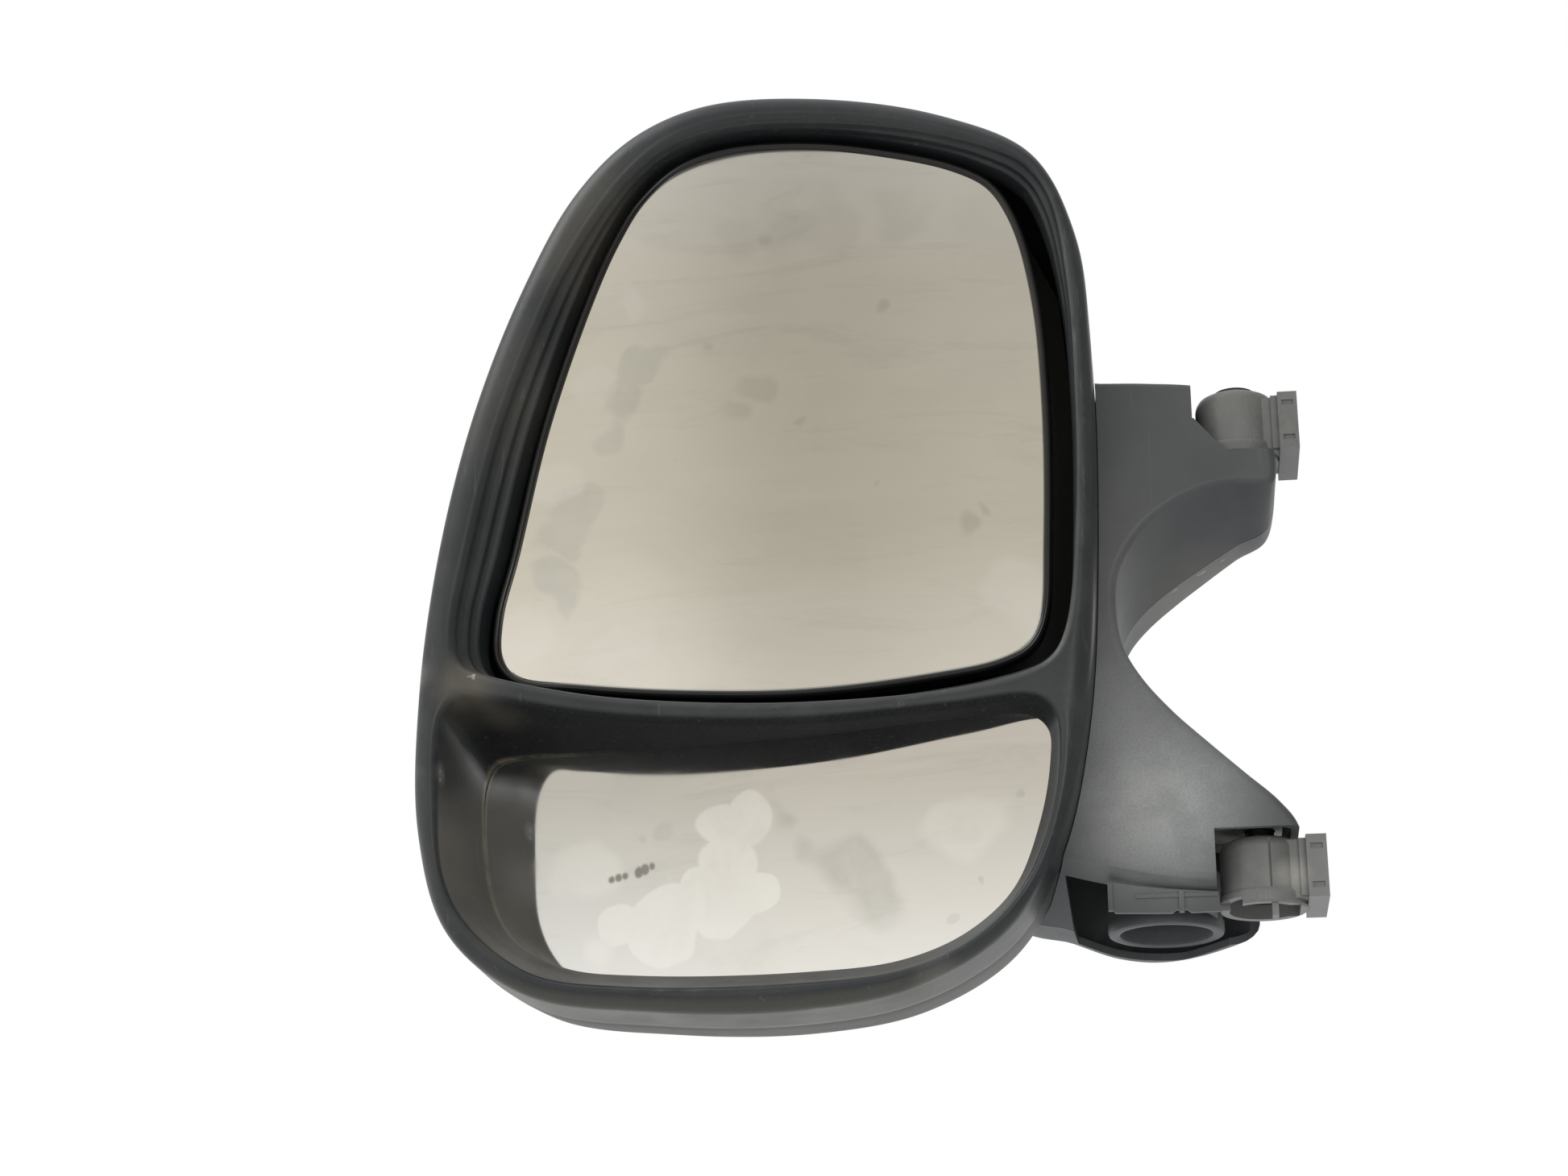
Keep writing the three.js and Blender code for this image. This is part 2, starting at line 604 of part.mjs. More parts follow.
function makeArmFrame() {
  const flange = [
    [-134, 172], [-92, 172], [-70, 168], [-46, 162], [-20, 148], [-20, 134], [-44, 128], [-64, 122], [-84, 112],
    [-84, 84], [-64, 72], [-44, 54], [-20, 32], [-20, 16], [-46, 16], [-70, 20], [-92, 24], [-134, 24],
  ];
  const sheetMetal = plate(flange, ...FRAME_Y);
  const hubs = union([
    rod('z', HUB_R, 112, UPPER_NOTCH_Z - 2.9, [FOLD_X, FOLD_Y, 0], 28),
    rod('z', HUB_R, LOWER_NOTCH_Z + 2.9, 44, [FOLD_X, FOLD_Y, 0], 28),
  ]);
  const links = union([
    box([-44, FOLD_X], [-6, FRAME_Y[1]], [124, 149]),
    box([-44, FOLD_X], [-6, FRAME_Y[1]], [17, 46]),
  ]);
  const headSide = box([-140, -96], [-60, 60], [-60, 220]);
  const inside = armCavity(GAP).subtract(footRooms).subtract(sleeveRoom).subtract(headSide);
  const headRoom = box([-140, -80], [FRAME_Y[0] - 1, FRAME_Y[1] + 1], [20, 176]);
  const inArm = union([sheetMetal, hubs, links]).intersect(inside);
  const bolts = union(FRAME_BOLTS.map(([x, z]) => rod('y', 2.1, 0, 40, [x, 0, z], 12)));
  const bores = union([
    rod('z', PIN_R + GAP, 136, 170, [FOLD_X, FOLD_Y, 0], 24),
    rod('z', PIN_R + GAP, 0, 26, [FOLD_X, FOLD_Y, 0], 24),
  ]);
  return inArm.add(sheetMetal.intersect(headRoom)).subtract(bolts).subtract(bores);
}

add('arm_frame', largest(makeArmFrame()), 'cast');

// ---- sleeve under the lower arm ----
add('arm_sleeve', tube('z', SLEEVE_R, SLEEVE_R - 4.5, -15.5, 6, [...SLEEVE, 0], 36), 'cover');

// ---- skirt plate with one rib, hung under the arm's front cover ----
const SKIRT_Y = [-13.2, -11.2];
const SKIRT_BOTTOM = -14.5;

function makeSkirt() {
  const outline = [
    [-75, -2.6], [-66, -4.6], [-58, -5.7], [-48, -6.6], [-38, -7.5], [-37, SKIRT_BOTTOM], [-74, SKIRT_BOTTOM + 0.8],
  ];
  const rib = box([-51.2, -49.4], [SKIRT_Y[0] - 1.2, SKIRT_Y[1]], [SKIRT_BOTTOM, -6.9]);
  return plate(outline, ...SKIRT_Y).add(rib);
}

add('arm_skirt', makeSkirt(), 'cover');

// ---- feet on the door ----
const FOOT_EDGE = 2;
const NECK_Y = 11;
const SEAT_DEPTH = 7;

// an upright cup about the fold axis with a neck to the flat seat on the door
function makeFoot(z0, z1, seatZ) {
  const drum = turned([[0, z0], [FOOT_R, z0], [FOOT_R, z1 - FOOT_EDGE], [FOOT_R - FOOT_EDGE, z1], [0, z1]],
    'z', [FOLD_X, FOLD_Y, 0], 32);
  const neckTop = Math.min(seatZ[1], z1 - FOOT_EDGE);
  const neck = box([FOLD_X, 1 - SEAT_DEPTH], [-NECK_Y, NECK_Y], [seatZ[0] + 1, neckTop]);
  const seat = box([-SEAT_DEPTH, 0], [-SEAT_HALF, SEAT_HALF], seatZ);
  const hollow = rod('z', FOOT_R - WALL, z0 - 1, z1 - WALL, [FOLD_X, FOLD_Y, 0], 32);
  const neckHollow = box([FOLD_X, -SEAT_DEPTH - WALL], [WALL - NECK_Y, NECK_Y - WALL], [z0 - 1, z1 - WALL - 1]);
  return union([drum, neck, seat]).subtract(hollow).subtract(neckHollow);
}

const LOWER_FOOT_Z = [-9, LOWER_NOTCH_Z - 1];
const UPPER_FOOT_Z = [UPPER_NOTCH_Z + 1, 181];
const LOWER_SEAT_Z = [-11, 11];
const UPPER_SEAT_Z = [155, 177];
const SEAT_BOLT_Y = 10;

function seatBores(zMid) {
  return union([-SEAT_BOLT_Y, SEAT_BOLT_Y].map((y) => rod('x', 2.6, -6, 1, [0, y, zMid], 14)));
}

const lowerPinBore = rod('z', PIN_R + GAP, -20, 40, [FOLD_X, FOLD_Y, 0], 24);
add('lower_foot', makeFoot(...LOWER_FOOT_Z, LOWER_SEAT_Z)
  .subtract(lowerPinBore).subtract(seatBores(0)), 'foot');

// like the lower one, the upper foot's cup faces down to the arm
const upperPinBore = rod('z', PIN_R + GAP, 150, 200, [FOLD_X, FOLD_Y, 0], 24);
add('upper_foot', makeFoot(...UPPER_FOOT_Z, UPPER_SEAT_Z)
  .subtract(upperPinBore).subtract(seatBores(166)), 'foot');

const insert = (y, z) => tube('x', 2.4, 1.5, -5.8, 0, [0, y, z], 10);
add('lower_seat_insert_left', insert(-SEAT_BOLT_Y, 0), 'steel');
add('lower_seat_insert_right', insert(SEAT_BOLT_Y, 0), 'steel');
add('upper_seat_insert_left', insert(-SEAT_BOLT_Y, 166), 'steel');
add('upper_seat_insert_right', insert(SEAT_BOLT_Y, 166), 'steel');

// ---- fold pins, the detent spring and its washer ----
const PIN_HEAD_R = 7.5;
add('lower_pivot_pin', turned([[0, -8], [PIN_HEAD_R, -8], [PIN_HEAD_R, -6], [PIN_R, -6], [PIN_R, 20.5], [0, 20.5]],
  'z', [FOLD_X, FOLD_Y, 0], 24), 'steel');
add('upper_pivot_pin', turned([[0, 139.5], [PIN_R, 139.5], [PIN_R, 181.4], [PIN_HEAD_R, 181.4], [PIN_HEAD_R, 183.4],
  [0, 183.4]], 'z', [FOLD_X, FOLD_Y, 0], 24), 'steel');
add('spring_washer', tube('z', 10.8, PIN_R + GAP, -5.7, -4.4, [FOLD_X, FOLD_Y, 0], 24), 'steel');

function makeSpring() {
  const turns = 4;
  const [bottom, top, radius, wire] = [-2.9, 7.9, 8.2, 1.1];
  const points = [];
  for (let i = 0; i <= turns * 10; i += 1) {
    const angle = (i / 10) * 2 * Math.PI;
    const rise = bottom + ((top - bottom) * i) / (turns * 10);
    points.push(new THREE.Vector3(FOLD_X + radius * Math.cos(angle), FOLD_Y + radius * Math.sin(angle), rise));
  }
  const section = new THREE.Shape();
  section.absarc(0, 0, wire, 0, 2 * Math.PI, false);
  const path = new THREE.CatmullRomCurve3(points);
  return solid(new THREE.ExtrudeGeometry(section, { steps: turns * 11, curveSegments: 3, extrudePath: path }));
}

add('fold_spring', makeSpring(), 'steel');

// ---- screws ----
function screw(name, [x, z], head, reach, radius, headRadius) {
  const profile = [[0, reach], [radius, reach], [radius, head], [headRadius, head], [headRadius, head + 1.6],
    [headRadius - 0.8, head + 2.4], [0, head + 2.4]];
  add(name, turned(profile, 'y', [x, 0, z], 9), 'steel');
}

BEZEL_POSTS.forEach((place, i) => screw(`bezel_screw_${i + 1}`, place, CARRIER_BACK + GAP, 3, 1.3, 2.8));
FRAME_BOLTS.forEach((place, i) => screw(`frame_bolt_${i + 1}`, place, FRAME_Y[1] + GAP, CARRIER_Y - 1.5, 1.8, 4.2));
ACTUATOR_BOLTS.forEach((place, i) => screw(`actuator_screw_${i + 1}`, place, CARRIER_BACK + GAP, 6, 1.8, 3.8));

export default mirror;
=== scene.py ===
import math

import bmesh
import bpy
import numpy as np
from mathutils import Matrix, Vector
from mathutils.geometry import delaunay_2d_cdt


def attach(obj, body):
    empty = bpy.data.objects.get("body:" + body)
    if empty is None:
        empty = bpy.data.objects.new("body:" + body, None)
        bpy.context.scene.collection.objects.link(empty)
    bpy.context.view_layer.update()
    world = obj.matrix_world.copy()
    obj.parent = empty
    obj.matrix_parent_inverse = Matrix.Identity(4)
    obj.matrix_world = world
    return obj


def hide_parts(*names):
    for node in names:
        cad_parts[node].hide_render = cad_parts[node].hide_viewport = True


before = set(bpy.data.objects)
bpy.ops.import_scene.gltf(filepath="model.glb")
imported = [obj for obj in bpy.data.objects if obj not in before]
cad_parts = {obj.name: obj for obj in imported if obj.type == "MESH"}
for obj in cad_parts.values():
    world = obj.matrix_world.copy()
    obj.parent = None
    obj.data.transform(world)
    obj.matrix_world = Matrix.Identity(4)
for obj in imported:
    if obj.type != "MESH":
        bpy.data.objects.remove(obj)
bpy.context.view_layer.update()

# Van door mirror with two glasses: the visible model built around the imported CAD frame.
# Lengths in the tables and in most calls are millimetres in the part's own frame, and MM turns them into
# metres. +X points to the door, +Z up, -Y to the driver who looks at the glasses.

MM = 0.001

# ---- driving numbers (mm)
BEZEL_FRONT = -45.0
ROLL = 8.0                  # radius of the bezel's outer edge
WINDOW_ROLL = 3.6           # radius where the face turns into a window
SPLIT = -12.0               # joint between bezel and rear shell
SHELL_BACK = 72.0
WALL = 2.6                  # wall of the mouldings
HEAD_INSET = 0.15           # keeps the head inside the CAD's box
FLOOR_Z = -950.0            # the pale floor lies well below the part, which hangs on a door
HEAD_CENTRE = (-192.0, 126.0)
FOLD = (-22.0, 0.0)         # x and y of the vertical fold axis
ARM_FRONT = -19.0
ARM_SPLIT = 42.0            # from the arm's front to the joint between its covers
ARM_DEPTH = 70.0
ARM_EDGE = 3.2              # radius along the arm's front edge
ARM_BACK_EDGE = 6.0         # depth of the round along its back edge
ARM_SHARE = 0.43            # how much of its depth the arm loses towards the door
JOINT_GAP = 0.45            # between the two arm covers
ROOM_RADIUS = 32.0          # of the space cut from the arm round each foot
ROOM_FLAT = -38.0           # x where that space ends
SLEEVE = (-56.0, 18.0)
GLASS_CENTRE = (-186.0, 172.0)
GLASS_FACE = -35.0          # y of the main glass at its crown
GLASS_RADIUS = 2000.0
LOWER_CENTRE = (-190.0, 12.0)
LOWER_RADIUS = 900.0
LOWER_SLANT = 0.164         # how fast the lower glass falls back away from the door
GLASS_INSET = 2.7           # width of the holder's rim round the main glass
GLASS_GAP = 2.6             # from the main glass's holder to the bezel
LOWER_LAP = 2.6             # how far the lower glass runs under the bezel
FACE_BACK = BEZEL_FRONT + WINDOW_ROLL
SIDE_START = BEZEL_FRONT + ROLL

# closed outlines as x, z
HEAD = [
    (-170, 298), (-215, 298.5), (-243, 287), (-265, 264), (-284, 226), (-301, 176), (-312, 122),
    (-317, 66), (-315, 16), (-303, -20), (-275, -42), (-232, -49), (-180, -50), (-140, -43),
    (-108, -24), (-90, 6), (-79, 52), (-74, 112), (-73, 190), (-77, 235), (-92, 269), (-124, 287),
]
WINDOW = [
    (-176, 287), (-207, 287), (-229, 280.5), (-244, 267.5), (-257, 249), (-270.5, 223), (-288.5, 171.5),
    (-299, 121.5), (-303.5, 90), (-301, 78), (-291, 73), (-259.5, 65), (-227, 60.5), (-177, 58),
    (-126, 60.5), (-101, 65.5), (-91, 71), (-85.5, 82), (-81, 118), (-79.5, 165.5), (-81, 215),
    (-86.5, 249), (-95, 263), (-108, 271), (-138, 281),
]
GLASS = [
    (-177.5, 284), (-208, 284), (-227, 278), (-242, 264), (-251.5, 247), (-260.5, 224), (-276, 172.5),
    (-286.5, 122), (-292, 98), (-291.5, 82), (-284, 73), (-259.5, 68.5), (-222, 64.5), (-178, 63),
    (-132.5, 67), (-108.5, 71.5), (-97.5, 77.5), (-92, 88), (-89.5, 118), (-88.5, 168), (-91, 212),
    (-98, 245), (-107, 261.5), (-121, 270.5), (-147, 278.5),
]
LOWER_WINDOW = [
    (-177, 50), (-230.5, 52.5), (-260, 56.5), (-288, 62.5), (-301.5, 64.5), (-307, 56), (-307, 25),
    (-304, 0), (-295, -17), (-272, -35), (-240, -40.5), (-177, -41), (-144, -37.5), (-120, -27),
    (-103, -10), (-93, 13), (-89.3, 38), (-90.5, 49), (-97, 54.5), (-126, 53),
]
LOWER_GLASS = [
    (-178, 52), (-240, 52.5), (-266, 53), (-288, 53.5), (-297, 51.5), (-300.5, 44), (-299.5, 16),
    (-294.5, -3.5), (-286.5, -15), (-268, -25.5), (-240, -30), (-180, -32.5), (-146, -30.5),
    (-123.5, -22.5), (-107, -8.5), (-97.5, 14), (-93, 35), (-93, 46.5), (-99, 52.5), (-126, 53.5),
]
# x, z on the arm's front face, z from the covers' joint to the back
ARM = [
    (-112, 186, 184), (-70.5, 184, 182), (-54, 183, 180), (-34, 180.5, 177), (-18, 174, 170),
    (-11, 162, 158), (-9.5, 143, 143), (-12, 140.5, 134), (-24, 141, 128.5), (-36, 139, 122.5),
    (-46, 134.5, 117), (-56, 127, 110), (-63.5, 117, 102), (-67.5, 107, 94), (-68, 93, 88),
    (-66, 81, 80), (-60, 69.5, 69.5), (-50, 57, 57), (-38, 45, 45), (-26, 33.5, 33.5), (-15, 23, 23),
    (-9, 14, 14), (-8, -1, -6), (-20, -3.5, -13), (-38, -4.5, -17.5), (-58, -2, -19), (-74, 1.5, -17),
    (-90, 5, -11), (-112, 11, -2),
]
# the rear shell's section: y, and the share of the way from the head's outline to its centre
SHELL_RINGS = [
    (-12, 0.0), (0, 0.004), (15, 0.014), (29, 0.05), (41, 0.115), (51, 0.2), (60, 0.33), (67, 0.5),
    (71, 0.7), (72, 0.9),
]
SHARE_LENGTH = 150.0        # length that a share of 1 counts as along that section


# ---- outlines
def catmull(points, per_span):
    """A closed centripetal Catmull-Rom curve through the points, like the CAD's."""
    p = np.array(points, float)
    out = []
    n = len(p)
    for i in range(n):
        a, b, c, d = p[i - 1], p[i], p[(i + 1) % n], p[(i + 2) % n]
        t0 = 0.0
        t1 = t0 + math.sqrt(np.linalg.norm(b[:2] - a[:2]))
        t2 = t1 + math.sqrt(np.linalg.norm(c[:2] - b[:2]))
        t3 = t2 + math.sqrt(np.linalg.norm(d[:2] - c[:2]))
        for k in range(per_span):
            t = t1 + (t2 - t1) * k / per_span
            a1 = (t1 - t) / (t1 - t0) * a + (t - t0) / (t1 - t0) * b
            a2 = (t2 - t) / (t2 - t1) * b + (t - t1) / (t2 - t1) * c
            a3 = (t3 - t) / (t3 - t2) * c + (t - t2) / (t3 - t2) * d
            b1 = (t2 - t) / (t2 - t0) * a1 + (t - t0) / (t2 - t0) * a2
            b2 = (t3 - t) / (t3 - t1) * a2 + (t - t1) / (t3 - t1) * a3
            out.append((t2 - t) / (t2 - t1) * b1 + (t - t1) / (t2 - t1) * b2)
    return np.array(out)


def soften(curve, rounds):
    """Evens out small kinks along a closed curve without shrinking it."""
    for _ in range(rounds):
        for push in (0.5, -0.51):
            middle = (np.roll(curve, 1, 0) + np.roll(curve, -1, 0)) / 2
            curve = curve + push * (middle - curve)
    return curve


def normals_of(curve):
    """Unit outward normals of a closed curve of x, z points."""
    tangent = np.roll(curve, -1, 0) - np.roll(curve, 1, 0)
    normal = np.stack([tangent[:, 1], -tangent[:, 0]], 1)
    normal /= np.linalg.norm(normal, axis=1)[:, None] + 1e-12
    area = np.sum(curve[:, 0] * np.roll(curve[:, 1], -1) - np.roll(curve[:, 0], -1) * curve[:, 1])
    return normal * np.sign(area)


def offset(curve, distance):
    return curve + distance * normals_of(curve)


def clean_offset(curve, distance):
    """An offset that never crosses itself: points that folded over move to the chord of their gap."""
    moved = offset(curve, distance)
    good = distance_to(moved, curve) > abs(distance) * 0.985
    n = len(curve)
    keep = np.flatnonzero(good)
    at = np.r_[keep, keep[0] + n]
    value = moved[at % n]
    steps = np.arange(n)
    steps = np.where(steps < keep[0], steps + n, steps)
    return np.stack([np.interp(steps, at, value[:, k]) for k in range(2)], 1)


def shrink(curve, centre, share):
    return curve + (np.array(centre) - curve) * share


def ring(curve, y):
    depth = y(curve[:, 0], curve[:, 1]) if callable(y) else np.full(len(curve), float(y))
    return np.stack([curve[:, 0], depth, curve[:, 1]], 1)


def distance_to(points, curve):
    """Distance from each point to a closed curve, in the x, z plane."""
    a, b = curve, np.roll(curve, -1, 0)
    best = np.full(len(points), 1e9)
    ab = b - a
    length = (ab ** 2).sum(1) + 1e-12
    for start in range(0, len(points), 400):
        p = points[start:start + 400, None, :]
        t = np.clip(((p - a) * ab).sum(2) / length, 0, 1)
        gap = np.linalg.norm(p - (a + t[..., None] * ab), axis=2)
        best[start:start + 400] = gap.min(1)
    return best


def inside(points, curve):
    x, z = points[:, 0][:, None], points[:, 1][:, None]
    a, b = curve, np.roll(curve, -1, 0)
    crosses = (a[:, 1] > z) != (b[:, 1] > z)
    at = a[:, 0] + (z - a[:, 1]) * (b[:, 0] - a[:, 0]) / (b[:, 1] - a[:, 1] + 1e-12)
    return (crosses & (x < at)).sum(1) % 2 == 1


head = offset(soften(catmull(HEAD, 14), 10), -HEAD_INSET)
window = soften(catmull(WINDOW, 10), 6)
glass_rim = soften(catmull(GLASS, 10), 6)
lower_window = soften(catmull(LOWER_WINDOW, 12), 5)
lower_sight = soften(catmull(LOWER_GLASS, 12), 5)
hole = offset(glass_rim, GLASS_GAP)
hole[:, 0] += 4.5 * np.clip((hole[:, 0] + 112) / 12, 0, 1)


def lower_plane(x, z):
    return -33 + (-94 - x) * LOWER_SLANT


def main_surface(x, z):
    return GLASS_FACE + ((x - GLASS_CENTRE[0]) ** 2 + (z - GLASS_CENTRE[1]) ** 2) / (2 * GLASS_RADIUS)


def lower_surface(x, z):
    rise = (x - LOWER_CENTRE[0]) ** 2 / 4 + (z - LOWER_CENTRE[1]) ** 2
    return lower_plane(x, z) - 2.4 + rise / (2 * LOWER_RADIUS)


# ---- mesh building
class Build:
    """Collects rings of points (mm) and the faces between them."""

    def __init__(self):
        self.points = []
        self.faces = []

    def add(self, points):
        start = len(self.points)
        self.points.extend(np.asarray(points, float).tolist())
        return list(range(start, len(self.points)))

    def bridge(self, first, second):
        n = len(first)
        for i in range(n):
            j = (i + 1) % n
            self.faces.append((first[i], first[j], second[j], second[i]))

    def rings(self, rings, start=None):
        """Bridges a row of rings and gives the last ring's indices."""
        last = start
        for points in rings:
            now = self.add(points)
            if last is not None:
                self.bridge(last, now)
            last = now
        return last

    def cap(self, indices):
        flat = [(self.points[i][0], self.points[i][2]) for i in indices]
        n = len(flat)
        edges = [(i, (i + 1) % n) for i in range(n)]
        _, _, faces, original, _, _ = delaunay_2d_cdt([Vector(p) for p in flat], edges, [], 1, 1e-6)
        for face in faces:
            self.faces.append(tuple(indices[original[k][0]] for k in face))

    def object(self, name, material=None, smooth_angle=40):
        mesh = bpy.data.meshes.new(name)
        mesh.from_pydata([(x * MM, y * MM, z * MM) for x, y, z in self.points], [], self.faces)
        return finish_mesh(name, mesh, material, smooth_angle)


def finish_mesh(name, mesh, material, smooth_angle):
    """Welds and smooths a mesh, and puts it in the scene."""
    work = bmesh.new()
    work.from_mesh(mesh)
    bmesh.ops.remove_doubles(work, verts=work.verts, dist=1e-6)
    bmesh.ops.recalc_face_normals(work, faces=work.faces)
    work.to_mesh(mesh)
    work.free()
    mesh.polygons.foreach_set("use_smooth", [True] * len(mesh.polygons))
    mesh.set_sharp_from_angle(angle=math.radians(smooth_angle))
    obj = bpy.data.objects.new(name, mesh)
    bpy.context.scene.collection.objects.link(obj)
    if material:
        mesh.materials.append(material)
    return obj


def loft(name, rings, material=None):
    """A closed body through a row of rings, capped at both ends."""
    build = Build()
    first = build.add(rings[0])
    build.cap(first)
    build.cap(build.rings(rings[1:], first))
    return build.object(name, material)


def bake(obj):
    """Applies every modifier of an object."""
    graph = bpy.context.evaluated_depsgraph_get()
    mesh = bpy.data.meshes.new_from_object(obj.evaluated_get(graph))
    obj.modifiers.clear()
    obj.data = mesh
    return obj


def boolean(obj, cutters, operation="DIFFERENCE"):
    for cutter in cutters:
        step = obj.modifiers.new("cut", "BOOLEAN")
        step.operation = operation
        step.solver = "MANIFOLD"
        step.object = cutter
    bpy.context.view_layer.update()
    bake(obj)
    for cutter in cutters:
        bpy.data.objects.remove(cutter)


def round_edges(obj, width, segments=2, angle=38):
    """Breaks every sharp edge with a small round and evens the shading."""
    bevel = obj.modifiers.new("round", "BEVEL")
    bevel.width = width * MM
    bevel.segments = segments
    bevel.limit_method = "ANGLE"
    bevel.angle_limit = math.radians(angle)
    bpy.context.view_layer.update()
    bake(obj)
    obj.data.polygons.foreach_set("use_smooth", [True] * len(obj.data.polygons))
    obj.data.set_sharp_from_angle(angle=math.radians(50))
    weight = obj.modifiers.new("even", "WEIGHTED_NORMAL")
    weight.keep_sharp = True
    bpy.context.view_layer.update()
    return bake(obj)


def slab(near, far):
    """A closed body between two matching rings, for cutting and joining."""
    build = Build()
    first, last = build.add(near), build.add(far)
    build.bridge(first, last)
    build.faces += [tuple(first), tuple(last)]
    return build.object("cutter")


def circle(radius, centre, segments):
    turn = np.linspace(0, 2 * math.pi, segments, endpoint=False)
    return [(centre[0] + radius * math.cos(a), centre[1] + radius * math.sin(a)) for a in turn]


def drum(radius, z0, z1, centre, segments=96):
    return prism(circle(radius, centre, segments), z0, z1)


def prism(plan, z0, z1):
    """A plan outline of x, y points raised between two heights."""
    return slab([(x, y, z0) for x, y in plan], [(x, y, z1) for x, y in plan])


def plate(outline, y0, y1):
    """An outline of x, z points given a thickness along y."""
    return slab([(x, y0, z) for x, z in outline], [(x, y1, z) for x, z in outline])


def block(x, y, z):
    return prism([(x[0], y[0]), (x[1], y[0]), (x[1], y[1]), (x[0], y[1])], *z)


def revolve(name, profile, centre, material=None, segments=128):
    """An upright turned body from radius, height pairs that end on the axis or close on themselves."""
    build = Build()
    build.rings([[(x, y, height) for x, y in circle(radius, centre, segments)]
                 for radius, height in profile])
    return build.object(name, material)


def cross_rod(radius, x0, x1, y, z, segments=32):
    """A closed round body along x."""
    build = Build()
    build.rings([[(x, b, c) for b, c in circle(r, (y, z), segments)]
                 for r, x in ((0, x0), (radius, x0), (radius, x1), (0, x1))])
    return build.object("cutter")


# ---- materials
COLOR_A, COLOR_B, MIXED_COLOR = 6, 7, 2     # a Mix node's colour sockets, by number

CHALK = (0.55, 0.54, 0.5)
DUST = (0.25, 0.235, 0.2)
# the black of painted shade
SHADE_BLACK = (0.0055, 0.0062, 0.0068)
# the warm olive of painted light bounced up from the ground
BOUNCE_OLIVE = (0.075, 0.074, 0.062)
SAND = (0.34, 0.3, 0.22)
PALE_FILM = (0.97, 0.97, 0.955)
BLUE_FILM = (0.62, 0.645, 0.635)
SMUDGE = (0.24, 0.22, 0.19)

# faded and dusty places and painted light and shade: centre, radius, soft edge, colour, strength
BEZEL_WEAR_AND_LIGHT = (
    ((-312, -38, 74), 9, 7, CHALK, 0.3),
    ((-311, -38, 38), 7, 5, CHALK, 0.4),
    ((-131, -42, -44), 13, 11, CHALK, 0.2),
    ((-298, -43, 69), 16, 14, SAND, 0.35),
    ((-292, -34, 50), 20, 17, SAND, 0.42),
    ((-292, -30, 10), 26, 18, SAND, 0.16),
    ((-280, -34, -20), 20, 15, SAND, 0.22),
    # partly sandy dust, partly painted light: lighter patches on the funnel's upper and left walls
    ((-258, -36, 246), 44, 38, SAND, 0.16),
    ((-285, -36, 180), 40, 36, SAND, 0.1),
)
ARM_SHEEN_AND_SHADE = (
    # painted shade in the hollow round the sleeve
    ((-56, 18, -3), 18, 3, SHADE_BLACK, 0.95),
    # painted sheen on the arm's front face: palest low down, fainter higher up
    ((-56, -19, 24), 46, 42, (0.5, 0.52, 0.53), 0.9),
    ((-72, -19, 62), 40, 36, (0.33, 0.345, 0.355), 0.7),
    ((-78, -19, 110), 60, 50, (0.2, 0.205, 0.205), 0.5),
    # a warm pale patch on the rear cover under the upper arm
    ((-40, 30, 118), 34, 26, (0.24, 0.235, 0.2), 0.6),
)
FOOT_WEAR = (((-12, -13, -2), 8, 6, CHALK, 0.6), ((-24, 0, 2), 13, 5, SAND, 0.5))
# scuffs: x, y, z, radius
BEZEL_SCUFFS = (
    (-311.5, -39, 76, 1.6), (-311, -39, 72, 1.2), (-310.5, -39, 40, 1.6), (-309.5, -39, 36, 1.4),
    (-134, -43, -44, 2.0), (-124, -43, -42, 1.6), (-297, -44, 71, 1.6), (-262, -41, 268, 1.2),
)
ARM_SCUFFS = (
    (-20, 19, 127, 1.6), (-28, 20, 126, 1.8), (-37, 22, 122, 1.6), (-46, 24, 117, 1.4), (-60, 26, 104, 1.6),
)
# dried films on the glasses: patches as x, z, radius; how ragged, colour, strength, roughness, soft edge
MAIN_FILMS = (
    (((-236, 196, 13), (-246, 182, 12), (-253, 168, 8)), 22, BLUE_FILM, 0.4, 0.05, 4.0),
    (((-262, 138, 12), (-265, 128, 10), (-267, 112, 9)), 22, BLUE_FILM, 0.4, 0.05, 4.0),
    (((-200, 246, 16), (-172, 248, 18), (-140, 252, 14)), 30, (0.66, 0.64, 0.6), 0.26, 0.04, 9.0),
    (((-196, 186, 9), (-204, 174, 7)), 20, (0.5, 0.48, 0.43), 0.25, 0.04, 5.0),
    (((-147, 212, 4), (-189, 245, 4), (-216, 201, 3), (-178, 170, 3), (-150, 146, 2)),
     12, SMUDGE, 0.2, 0.05, 2.6),
    (((-122, 123, 6), (-117, 132, 4)), 20, SMUDGE, 0.2, 0.05, 3.5),
    (((-100, 98, 16), (-286, 92, 16), (-250, 84, 12)), 24, PALE_FILM, 0.45, 0.07, 8.0),
    (((-258, 190, 12), (-246, 222, 8), (-270, 150, 12)), 16, PALE_FILM, 0.55, 0.07, 4.0),
)
LOWER_FILMS = (
    (((-212, -7, 15), (-233, -14, 15), (-249, -12, 9), (-201, -4, 11), (-207, 10, 11), (-200, 23, 10),
      (-212, 23, 8)), 8, PALE_FILM, 0.9, 0.2, 1.6),
    (((-162, 2, 22), (-182, 24, 9)), 26, (0.5, 0.5, 0.48), 0.45, 0.06, 9.0),
    (((-264, 8, 13), (-258, -22, 8), (-120, 14, 16)), 14, PALE_FILM, 0.5, 0.1, 6.0),
    (((-252.5, 5.2, 1.8), (-250, 5.8, 2.0), (-247.5, 6.2, 1.8), (-242, 6.8, 2.4), (-239.5, 7.4, 2.4),
      (-236.5, 8.2, 1.8)), 3, SMUDGE, 0.8, 0.2, 1.2),
    (((-230, 19, 6), (-240, 17, 3.5)), 14, (0.6, 0.6, 0.58), 0.35, 0.08, 3.0),
    (((-129, -18, 3), (-104, 24, 2.5), (-118, -6, 2)), 8, (0.3, 0.3, 0.3), 0.2, 0.08, 1.5),
)


